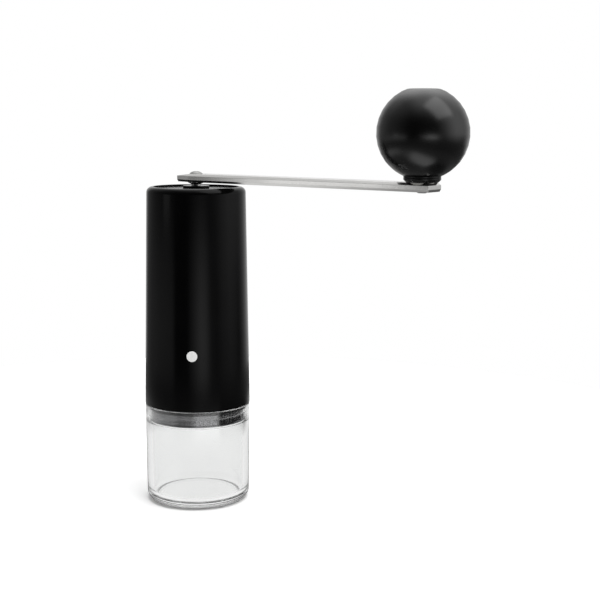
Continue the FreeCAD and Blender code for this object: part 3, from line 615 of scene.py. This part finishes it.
def jar_glass():
    jar = turned("jar_glass", [
        (0.0, 0.0), (25.7, 0.0, 3.6), (26.2, 48.6, 0.35), (24.55, 48.6, 0.25),
        (24.55, 40.5, 0.15), (23.2, 40.0, 0.4), (22.7, 2.6, 3.6), (0.0, 2.6),
    ], sides=160)
    thread = thread_ridge(43.4, root_radius=24.7, crest_radius=24.35, root_width=0.45)
    edit(thread)
    take_all()
    swing(math.pi)
    put_down()
    combine(jar, thread, "UNION")
    even_normals(jar)
    return jar


def gasket():
    return turned("jar_gasket", [
        (23.05, 46.6, 0.66), (24.45, 46.6, 0.66), (24.45, 48.0, 0.66), (23.05, 48.0, 0.66),
    ], sides=160)


# The body: shell, dot, collar, bearings and liner

def body_shell():
    return turned("body_shell", [
        (23.0, BODY_FOOT, 0.15), (26.3, BODY_FOOT, 0.3), (24.4, BODY_TOP, 2.9), (21.0, BODY_TOP, 0.18),
        (21.0, 144.0), (20.0, 144.0, 0.15), (20.0, CHAMBER_TOP, 0.15), (21.5, CHAMBER_TOP),
        (21.5, COLLAR_TOP), (23.0, COLLAR_TOP),
    ], sides=192)


def enamel_dot(shell):
    """A thin disc let into the shell, its face following the shell's curve."""
    radius = 2.6
    depth = 1.4
    edge = 0.09
    front = -25.9
    height = 76.6
    ring_count = 6
    ring_width = 0.45
    proud_by = 0.07
    put_down()
    bpy.ops.mesh.primitive_cylinder_add(vertices=72, radius=radius * MM, depth=depth * MM,
                                        location=(0, front * MM, height * MM),
                                        rotation=(math.pi / 2, 0, 0))
    dot = bpy.context.object
    dot.name = "enamel_dot"
    settle()
    edit(dot, "FACE")
    choose(dot, lambda face: face.normal.y < -0.9, "faces")
    for _ in range(ring_count):
        bpy.ops.mesh.inset(thickness=ring_width * MM)
    put_down()
    foremost = min(v.co.y for v in dot.data.vertices)
    face = [v.index for v in dot.data.vertices if v.co.y < foremost + COPY_GAP]
    dot.vertex_groups.new(name="face").add(face, 1.0, "REPLACE")
    modify(dot, "SHRINKWRAP", target=shell, wrap_method="PROJECT", use_project_y=True,
           use_project_x=False, use_project_z=False, use_negative_direction=True,
           use_positive_direction=True, offset=proud_by * MM, vertex_group="face")
    modify(dot, "BEVEL", width=edge * MM, segments=3, limit_method="ANGLE",
           angle_limit=math.radians(50))
    smooth(dot, 40.0)
    even_normals(dot)
    return dot


def collar():
    piece = turned("screw_collar", [
        (22.35, 40.7, 0.15), (23.8, 40.7, 0.35), (23.8, 41.4, 0.1), (23.35, 41.7), (23.35, 46.45),
        (22.95, 46.5, 0.1), (22.95, 48.15, 0.1), (23.8, 48.15, 0.12), (23.8, BODY_FOOT, 0.1),
        (22.93, BODY_FOOT), (22.93, COLLAR_TOP, 0.2), (17.2, COLLAR_TOP, 0.2), (17.2, 58.5, 0.1),
        (19.05, 58.5), (19.05, 45.4), (22.35, 45.4, 0.1),
    ], sides=160)
    thread = thread_ridge(43.6, root_radius=23.1, crest_radius=23.5, root_width=0.7)
    combine(piece, thread, "UNION")
    even_normals(piece)
    return piece


def race_outer(name, low):
    """Outer race with its two shields set back a little."""
    high = low + BEARING_WIDTH
    return turned(name, [
        (4.22, low + 0.25, 0.05), (5.45, low + 0.25), (5.5, low, 0.06), (6.5, low, 0.3),
        (6.5, high, 0.3), (5.5, high, 0.06), (5.45, high - 0.25), (4.22, high - 0.25, 0.05),
    ], sides=96)


def race_inner(name, low):
    high = low + BEARING_WIDTH
    return turned(name, [
        (SHAFT_RADIUS, low, 0.2), (4.1, low, 0.06), (4.1, high, 0.06), (SHAFT_RADIUS, high, 0.2),
    ], sides=96)


def liner():
    return turned("chamber_liner_tube", [
        (20.9, 63.5, 0.1), (21.4, 63.5, 0.1), (21.4, 136.0, 0.1), (20.9, 136.0, 0.1),
    ])


# The shaft and its small parts

def shaft():
    """A turned upper length with a socket for the crank, a six-sided length and a round tail."""
    upper = turned("shaft_turned", [
        (0.0, 60.5), (SHAFT_RADIUS, 60.5, 0.25), (SHAFT_RADIUS, 71.8), (4.0, 71.8, 0.25),
        (4.0, TOP_BEARING, 0.25), (SHAFT_RADIUS, TOP_BEARING), (SHAFT_RADIUS, 141.8), (2.7, 141.8),
        (2.7, 142.5), (SHAFT_RADIUS, 142.5), (SHAFT_RADIUS, 150.0, 0.35), (0.0, 150.0),
    ], sides=64)
    combine(upper, hexagon_bar(4.1, 143.4, 151.0, CRANK_TURN), "DIFFERENCE")
    tail = turned("shaft_tail", [(0.0, 40.9), (2.5, 40.9, 0.35), (2.5, 44.3), (0.0, 44.3)], sides=64)
    return join("grinder_shaft", upper, hexagon_bar(5.0, 44.1, 60.6, edge=0.2), tail)


def spring():
    """Round wire wound into a coil, between the inner burr and the washer above it."""
    wire_radius = 0.4
    coil_radius = 4.2
    foot = 59.95
    rise = 5.8
    turns = 4
    steps_per_turn = 48
    put_down()
    bpy.ops.mesh.primitive_circle_add(vertices=16, radius=wire_radius * MM,
                                      location=(coil_radius * MM, 0, foot * MM),
                                      rotation=(math.pi / 2, 0, 0))
    wire = bpy.context.object
    settle()
    sweep_up(wire, turns, rise, turns * steps_per_turn)
    wire.name = "spring_wire"
    return wire


def washer(name, bore, radius, low, high, edge=0.08, axis=GRINDER_AXIS):
    return turned(name, [
        (bore, low, edge), (radius, low, edge), (radius, high, edge), (bore, high, edge),
    ], sides=96, axis=axis)


# The adjusting dial

def dial_numbers():
    """Small plain numerals round the dial's face, read from below."""
    count = 12
    step = 360.0 / count
    letter_height = 2.6
    letter_depth = 0.03
    from_axis = 8.6
    face_height = 41.9
    pieces = []
    for i in range(count):
        put_down()
        bpy.ops.object.text_add(rotation=(math.pi, 0, 0))
        text = bpy.context.object
        text.data.body = str(i)
        text.data.size = letter_height * MM
        text.data.align_x = "CENTER"
        text.data.align_y = "CENTER"
        text.data.extrude = letter_depth * MM
        bpy.ops.object.convert(target="MESH")
        settle()
        edit(text)
        take_all()
        shift(0.0, -from_axis, face_height)
        swing(-math.radians(step * (i + 0.5)))
        put_down()
        pieces.append(text)
    return join("dial_numbers", *pieces)


def click_button():
    return turned("click_button", [
        (0.0, 42.45), (0.8, 42.45, 0.1), (0.8, 44.05, 0.25), (0.0, 44.05),
    ], sides=32, axis=(7.2, 0.0))


# The lid

def lid_cup():
    return turned("lid_cup", [
        (4.5, 154.5), (19.7, 154.5, 0.6), (19.7, 144.05, 0.12), (20.8, 144.05, 0.2),
        (20.8, 148.65), (20.3, 148.65), (20.3, 150.35), (20.8, 150.35), (20.8, 156.1, 0.7),
        (4.5, 156.1),
    ], sides=160)


def lid_hub():
    return turned("lid_hub", [
        (2.4, 151.6, 0.1), (4.5, 151.6, 0.25), (4.5, 156.1), (6.5, 156.1), (6.5, 157.5, 0.4),
        (2.4, 157.5, 0.12),
    ], sides=96)


# The crank

def stub():
    journal = turned("stub_journal", [
        (0.0, 150.4), (STUB_RADIUS, 150.4, 0.12), (STUB_RADIUS, 151.05), (2.0, 151.05), (2.0, 151.55),
        (STUB_RADIUS, 151.55), (STUB_RADIUS, 158.2), (4.0, 159.0, 0.12), (4.0, 159.3), (0.0, 159.3),
    ], sides=96)
    return join("crank_stub", journal, hexagon_bar(4.0, 144.0, 150.5, CRANK_TURN, edge=0.2))


def socket_screw():
    """A low domed head with a six-sided socket, on a plain shank."""
    head_radius = 3.3
    dome_height = 1.3
    top = 164.6
    dome_radius = (head_radius ** 2 + dome_height ** 2) / (2 * dome_height)
    spread = math.degrees(math.asin(head_radius / dome_radius))
    shank = [(0.0, 153.0), (1.5, 153.0), (1.5, BAR_TOP), (head_radius, BAR_TOP)]
    dome = arc(0.0, top - dome_radius, dome_radius, 90.0 - spread, 90.0, 4)
    screw = turned("socket_screw", shank + dome + [(0.0, top)], sides=96)
    combine(screw, hexagon_bar(KEY_SOCKET, 163.5, 165.5, CRANK_TURN), "DIFFERENCE")
    return screw


def axle():
    """The pin that the knob turns on: its tail goes through the bar and its top is bored."""
    return turned("knob_pin", [
        (0.0, 158.7), (1.9, 158.7, 0.2), (2.5, 159.3), (2.5, BAR_TOP), (3.0, BAR_TOP),
        (3.0, AXLE_TOP, 0.2), (1.5, AXLE_TOP), (1.5, 186.8), (0.0, 186.8),
    ], sides=64, axis=KNOB_AXIS)


def axle_bolt():
    bolt = turned("knob_bolt", [
        (0.0, 186.9), (1.5, 186.9), (1.5, AXLE_TOP), (4.6, AXLE_TOP, 0.1), (4.6, 196.3, 0.3),
        (0.0, 196.3),
    ], sides=96)
    combine(bolt, hexagon_bar(KEY_SOCKET, 194.95, 197.0, CRANK_TURN), "DIFFERENCE")
    carry(bolt, KNOB_AXIS)
    return bolt


# The knob

def ball():
    """A ball that a small brow leads over into the flat top, round a well for the cap."""
    ball_radius = 20.0
    brow_radius = 4.0
    well_radius = 5.06
    brow_start = 67.74
    side = arc(0.0, 184.304, ball_radius, -64.85, brow_start, 12)
    brow = arc(6.06, 199.112, brow_radius, brow_start, 90.0, 2)
    well = [
        (well_radius, KNOB_TOP, 0.12), (well_radius, BUSH_TOP), (BUSH_RADIUS, BUSH_TOP),
        (BUSH_RADIUS, FERRULE_TOP),
    ]
    return turned("knob_shell", [(8.5, FERRULE_TOP)] + side + brow + well, sides=160, axis=KNOB_AXIS)


def cap():
    return turned("knob_plug", [
        (0.0, 201.61), (4.96, 201.61), (4.96, KNOB_TOP, 0.12), (0.0, KNOB_TOP),
    ], sides=96, axis=KNOB_AXIS)


def ferrule():
    return turned("knob_ring", [
        (BUSH_RADIUS, 163.7), (5.7, 163.7), (5.7, 163.4, 0.06), (7.1, 163.4, 0.2), (8.2, 164.5, 0.25),
        (8.2, 165.3, 0.08), (8.05, 165.42), (8.2, 165.54, 0.08), (8.2, FERRULE_TOP, 0.1),
        (BUSH_RADIUS, FERRULE_TOP),
    ], axis=KNOB_AXIS)


def knob_sleeve():
    return turned("knob_sleeve", [
        (3.05, 163.7, 0.1), (BUSH_RADIUS, 163.7, 0.1), (BUSH_RADIUS, BUSH_TOP, 0.1),
        (3.05, BUSH_TOP, 0.1),
    ], sides=64, axis=KNOB_AXIS)


# Putting the grinder together

anodised = satin_anodised()
black_gloss = glossy_black()
black_plastic = moulded_black()
rubber = seal_rubber()
knob_black = knob_lacquer()
steel = turned_steel("turned_steel", (0.56, 0.555, 0.545), (0.22, 0.34))
race_steel = turned_steel("race_steel", (0.64, 0.64, 0.64), (0.14, 0.24))
bright_steel = turned_steel("bright_steel", (0.66, 0.655, 0.645), (0.12, 0.22))
screw_steel = turned_steel("screw_steel", (0.2, 0.2, 0.195), (0.22, 0.34))
pin_steel = turned_steel("pin_steel", (0.66, 0.655, 0.645), (0.12, 0.22), KNOB_AXIS)
spring_steel = turned_steel("spring_steel", (0.44, 0.44, 0.45), (0.24, 0.36))
burr_steel = cut_steel()
aluminium = cast_aluminium()

fit(jar_glass(), clear_jar(), "jar", "clear_glass", "jar")
fit(gasket(), rubber, "seal", "black_rubber", "jar_seal")

shell = body_shell()
dot = enamel_dot(shell)
fit(shell, anodised, "housing", "satin_black", "shell")
fit(dot, dot_enamel(), "housing", "white_enamel", "index_dot")
fit(collar(), polished_dark(), "housing", "gloss_black", "jar_collar")
fit(dressed_copy("ring_keeper", "burr_retainer", 0.15), steel, "housing", "plain_steel", "burr_retainer")
fit(dressed_copy("burr_ring", "ring_burr", 0.06), burr_steel, "housing", "burr_steel", "ring_burr")
fit(dressed_copy("bridge_low", "lower_bridge", 0.3), aluminium, "housing", "bridge_aluminium", "lower_bridge")
fit(dressed_copy("bridge_top", "upper_bridge", 0.3), aluminium, "housing", "bridge_aluminium", "upper_bridge")
fit(race_outer("race_low_outer", LOW_BEARING), race_steel, "housing", "bearing_steel", "lower_bearing_outer")
fit(race_outer("race_top_outer", TOP_BEARING), race_steel, "housing", "bearing_steel", "upper_bearing_outer")
fit(liner(), steel, "housing", "plain_steel", "chamber_liner")

fit(shaft(), steel, "shaft", "plain_steel", "drive_shaft")
fit(race_inner("race_low_inner", LOW_BEARING), race_steel, "shaft", "bearing_steel", "lower_bearing_inner")
fit(race_inner("race_top_inner", TOP_BEARING), race_steel, "shaft", "bearing_steel", "upper_bearing_inner")
fit(dressed_copy("shaft_ring", "shaft_circlip", 0.1), steel, "shaft", "plain_steel", "shaft_circlip")
fit(washer("spring_seat", WASHER_BORE, 5.2, 66.2, LOW_BEARING), steel, "shaft", "plain_steel",
    "spring_washer")
coil = spring()
coil.data.materials.append(spring_steel.material)
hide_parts("burr_spring")
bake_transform(coil)

fit(dressed_copy("burr_cone", "inner_burr", 0.06), burr_steel, "burr", "burr_steel", "inner_burr")
fit(washer("click_plate", 2.6, 9.5, 44.1, 44.6), steel, "burr", "plain_steel", "click_washer")
fit(dressed_copy("dial_wheel", "adjust_dial", 0.22), black_plastic, "dial", "dial_black", "adjust_dial")
fit(dial_numbers(), number_white(), "dial", "dial_black")
fit(click_button(), bright_steel, "dial", "bright_steel", "click_pin")

fit(lid_cup(), anodised, "lid", "satin_black", "lid")
fit(lid_hub(), anodised, "lid", "black_plastic", "lid_bush")
fit(washer("lid_gasket", 20.3, 20.95, 148.7, 150.3, 0.28), rubber, "lid", "black_rubber", "lid_seal")

fit(dressed_copy("crank_arm", "crank_bar", 0.1, 3, 20.0), bar_steel(), "crank", "polished_steel", "crank_bar")
fit(stub(), steel, "crank", "plain_steel", "drive_stub")
fit(dressed_copy("stub_ring", "stub_clip", 0.08), steel, "crank", "plain_steel", "stub_clip")
fit(socket_screw(), screw_steel, "crank", "bright_steel", "crank_screw")
fit(axle(), pin_steel, "crank", "bright_steel", "knob_axle")
fit(washer("thrust_ring", WASHER_BORE, 5.6, BAR_TOP, 163.65, axis=KNOB_AXIS), pin_steel, "crank",
    "plain_steel", "thrust_washer")
fit(axle_bolt(), pin_steel, "crank", "bright_steel", "axle_screw")

fit(ball(), knob_black, "knob", "knob_black", "knob_ball")
fit(cap(), knob_black, "knob", "knob_black", "knob_cap")
fit(ferrule(), black_gloss, "knob", "gloss_black", "knob_ferrule")
fit(knob_sleeve(), bush_brass(), "knob", "brass", "knob_bush")


# The studio, whose places and sizes are in metres

# How bright the tent is by bearing, in degrees to the right of the camera's side: the panels that
# stand at table height, the walls above them, and the table.
PANELS = [(-180, 0.95), (-152, 0.7), (-140, 0.2), (-115, 0.3), (-98, 0.5), (-70, 0.75), (-52, 0.8),
          (-42, 0.03), (-16, 0.03), (-4, 0.8), (14, 2.6), (24, 2.3), (37, 0.5), (50, 0.25),
          (66, 0.6), (85, 0.7), (112, 0.12), (150, 0.9), (180, 0.95)]
WALLS = [(-180, 0.85), (-152, 0.7), (-136, 0.3), (-116, 0.3), (-97, 0.22), (-80, 0.19), (-63, 0.12),
         (-47, 0.04), (-20, 0.02), (30, 0.04), (51, 0.45), (66, 1.0), (82, 1.35), (102, 1.0),
         (118, 0.6), (150, 0.75), (180, 0.8)]
TABLE = [(-180, 1.0), (-140, 0.4), (-110, 0.8), (-62, 0.8), (-45, 0.7), (-36, 0.4), (-8, 0.6),
         (5, 1.5), (48, 1.5), (56, 0.06), (125, 0.06), (150, 0.8), (180, 1.0)]
# The ceiling's levels over the camera, over the grinder and behind it, and the share of them that
# is left towards the left and the right.
FRONT_CEILING = 0.1
CEILING = 1.3
BACK_CEILING = 2.6
LEFT_SHADE = 0.3
RIGHT_SHADE = 0.55
# What lies below the panels, what dull surfaces get from all round, the floor near the grinder and
# the far end of the table as shiny pieces mirror them, and the floor's colour to the camera and to
# dull surfaces.
GROUND = 0.12
AMBIENT = 0.75
FLOOR_SHEEN = 0.2
TABLE_END = 0.2
FLOOR_WHITE = 1.4
FLOOR_DULL = 0.8
# Where one part of the tent fades into the next, by how far a direction points up.
PANEL_FOOT = (-0.27, -0.15)
WALL_FOOT = (-0.15, -0.01)
CEILING_FOOT = (0.35, 0.85)
# The same, by how far it points away from the camera and to the right.
FRONT_FADE = (-0.85, 0.0)
BACK_FADE = (0.0, 0.5)
GLASS_FADE = (-0.5, 0.1)
LEFT_FADE = (-0.55, -0.1)
RIGHT_FADE = (0.15, 0.6)
# The floor's radius, the width of its rim, and where its sheen fades into the table and that into
# the table's end.
FLOOR_RADIUS = 0.36
FLOOR_RIM = 0.26
SHEEN_FADE = (0.12, 0.17)
TABLE_FADE = (0.22, 0.27)
# The strip light's middle, its two sides, the fade along it and its levels.
STRIP_PLACE = (-0.5, -0.22, 0.136)
STRIP_SIDES = (0.032, 0.24)
STRIP_FADE = (0.115, 0.205)
STRIP_DIM = 0.08
STRIP_STRENGTH = 1.2
# The key light.
KEY_PLACE = (0.575, -0.333, 1.024)
KEY_TARGET = (0.08, -0.05, 0.15)
KEY_SIDE = 0.85
KEY_POWER = 4.6
# The camera: its place, its turn in degrees, and its lens and sensor in millimetres.
EYE_PLACE = (0.0617, -0.5924, 0.1897)
EYE_TURN = (81.4628, -0.2833, 1.028)
EYE_LENS = 72.0
EYE_SENSOR = 36.0
# The world and the floor glow in quarters of their own strength, which leaves room above white.
FULL = 4.0


def grey(level):
    return (level / FULL,) * 3


def bearings(tree, right, away, stops):
    """Brightness by bearing round the grinder."""
    bearing = tree.work_out("ARCTAN2", right, 0.0 - away)
    return tree.ramp(bearing * (0.5 / math.pi) + 0.5, *[(0.5 + a / 360.0, v / FULL) for a, v in stops])


def dulled(tree, ray):
    """1 once the light's path has met a dull surface."""
    return tree.work_out("MINIMUM", ray.other("Diffuse Depth"), 1.0)


def seen_through(tree, ray):
    """1 for what the camera sees through the clear jar, before any dull surface."""
    return ray.other("Is Transmission Ray") * (1.0 - dulled(tree, ray))


def bare_material(name):
    """A material of the studio's own kit, which has nothing but its output yet."""
    material = bpy.data.materials.new(name)
    material.use_nodes = True
    tree = Tree(material.node_tree)
    tree.nodes.remove(tree.nodes["Principled BSDF"])
    return material, tree


def floor():
    """A round pale floor that looks white and keeps the shadow at the jar's foot.

    Glass and shiny pieces meet the table's glow on it, and from below it isn't there.
    """
    drop = 0.02
    put_down()
    bpy.ops.mesh.primitive_circle_add(vertices=128, radius=FLOOR_RADIUS, fill_type="NGON",
                                      location=(0, 0, -drop * MM))
    disc = bpy.context.object
    disc.name = "floor"
    edit(disc, "FACE")
    take_all()
    bpy.ops.mesh.inset(thickness=FLOOR_RIM)
    put_down()
    material, tree = bare_material("pale_floor")
    ray = tree.add("ShaderNodeLightPath", {}, {}, "Is Camera Ray")
    spot = tree.add("ShaderNodeTexCoord", {}, {}, "Object")
    right = tree.add("ShaderNodeSeparateXYZ", {}, {"Vector": spot}, "X")
    reach = tree.add("ShaderNodeVectorMath", {"operation": "LENGTH"}, {0: spot}, "Value")
    through = seen_through(tree, ray)
    near = tree.between(through, grey(FLOOR_SHEEN), grey(1.0))
    round_about = bearings(tree, right, right.other("Y"), TABLE)
    table = tree.between(tree.rise(reach, *SHEEN_FADE), near, round_about)
    table = tree.between(tree.rise(reach, *TABLE_FADE) * (1.0 - through), table, grey(TABLE_END))
    pale = tree.add("ShaderNodeBsdfDiffuse", {}, {"Color": (FLOOR_DULL,) * 3})
    seen = tree.add("ShaderNodeBsdfDiffuse", {}, {"Color": (FLOOR_WHITE,) * 3})
    mirrored = tree.add("ShaderNodeEmission", {}, {"Color": table, "Strength": FULL})
    nothing = tree.add("ShaderNodeBsdfTransparent", {}, {})
    glowing = tree.work_out("MAXIMUM", ray.other("Is Glossy Ray"), through)
    below = tree.add("ShaderNodeNewGeometry", {}, {}, "Backfacing")
    look = tree.choice(below, tree.choice(glowing, tree.choice(ray, pale, seen), mirrored), nothing)
    tree.feed(tree.nodes["Material Output"].inputs["Surface"], look)
    disc.data.materials.append(material)


def hidden(piece, material):
    """Stage kit that the camera and the glass don't show."""
    piece.data.materials.append(material)
    piece.visible_camera = False
    piece.visible_transmission = False


def foot_shade():
    """A thin black disc in the jar's base, a little towards the camera, that only shades the floor."""
    radius = 25.6
    thickness = 0.6
    forward = 1.6
    height = 2.0
    put_down()
    bpy.ops.mesh.primitive_cylinder_add(vertices=96, radius=radius * MM, depth=thickness * MM,
                                        location=(0, -forward * MM, height * MM))
    disc = bpy.context.object
    disc.name = "foot_shade"
    hidden(disc, Paint("shade_black", Base_Color=(0.0, 0.0, 0.0), Specular_IOR_Level=0.0).material)
    disc.visible_glossy = False


def strip_light():
    """A low narrow strip at the left for the crank bar's bright side, fading away from the camera."""
    put_down()
    bpy.ops.mesh.primitive_plane_add(size=1.0, location=STRIP_PLACE, rotation=(0, math.pi / 2, 0))
    strip = bpy.context.object
    strip.name = "strip_light"
    strip.scale = (*STRIP_SIDES, 1.0)
    settle()
    material, tree = bare_material("strip_glow")
    spot = tree.add("ShaderNodeTexCoord", {}, {}, "Object")
    away = tree.add("ShaderNodeSeparateXYZ", {}, {"Vector": spot}, "Y")
    glow = tree.between(tree.rise(0.0 - away, *STRIP_FADE), (STRIP_DIM,) * 3, (1.0,) * 3)
    shine = tree.add("ShaderNodeEmission", {}, {"Color": glow, "Strength": STRIP_STRENGTH})
    tree.feed(tree.nodes["Material Output"].inputs["Surface"], shine)
    hidden(strip, material)
    strip.visible_diffuse = False


def studio():
    """White to the camera, and to shiny pieces a tent of panels, walls and a ceiling."""
    world = bpy.data.worlds.new("studio")
    bpy.context.scene.world = world
    world.use_nodes = True
    tree = Tree(world.node_tree)
    ray = tree.add("ShaderNodeLightPath", {}, {}, "Is Camera Ray")
    way = tree.add("ShaderNodeTexCoord", {}, {}, "Generated")
    right = tree.add("ShaderNodeSeparateXYZ", {}, {"Vector": way}, "X")
    away = right.other("Y")
    up = right.other("Z")
    low = tree.between(tree.rise(up, *PANEL_FOOT), grey(GROUND), bearings(tree, right, away, PANELS))
    sides = tree.between(tree.rise(up, *WALL_FOOT), low, bearings(tree, right, away, WALLS))
    front = tree.between(tree.rise(away, *FRONT_FADE), grey(FRONT_CEILING), grey(CEILING))
    above = tree.between(tree.rise(away, *BACK_FADE), front, grey(BACK_CEILING))
    left_above = tree.between(LEFT_SHADE, grey(0.0), above)
    right_above = tree.between(RIGHT_SHADE, grey(0.0), above)
    ceiling = tree.between(tree.rise(right, *LEFT_FADE), left_above, above)
    ceiling = tree.between(tree.rise(right, *RIGHT_FADE), ceiling, right_above)
    tent = tree.between(tree.rise(up, *CEILING_FOOT), sides, ceiling)
    lit = tree.between(dulled(tree, ray), tent, grey(AMBIENT))
    white = tree.work_out("MAXIMUM", ray, seen_through(tree, ray) * tree.rise(away, *GLASS_FADE))
    back = tree.nodes["Background"]
    tree.feed(back.inputs["Color"], tree.between(white, lit, grey(1.0)))
    tree.feed(back.inputs["Strength"], FULL)


def key_light():
    """A square soft light, high up at the right."""
    put_down()
    bpy.ops.object.light_add(type="AREA", location=KEY_PLACE)
    lamp = bpy.context.object
    lamp.name = "key"
    lamp.data.shape = "RECTANGLE"
    lamp.data.size = KEY_SIDE
    lamp.data.size_y = KEY_SIDE
    lamp.data.energy = KEY_POWER
    lamp.rotation_euler = (Vector(KEY_TARGET) - Vector(KEY_PLACE)).to_track_quat("-Z", "Y").to_euler()


def camera():
    put_down()
    bpy.ops.object.camera_add(location=EYE_PLACE, rotation=[math.radians(turn) for turn in EYE_TURN])
    eye = bpy.context.object
    eye.data.lens = EYE_LENS
    eye.data.sensor_width = EYE_SENSOR
    bpy.context.scene.camera = eye


floor()
foot_shade()
strip_light()
studio()
key_light()
camera()
bpy.context.scene.view_settings.view_transform = "Standard"
# Light runs round inside the jar's clear base for many turns before it comes out.
bpy.context.scene.cycles.max_bounces = 24
bpy.context.scene.cycles.glossy_bounces = 16
bpy.context.scene.cycles.transmission_bounces = 24
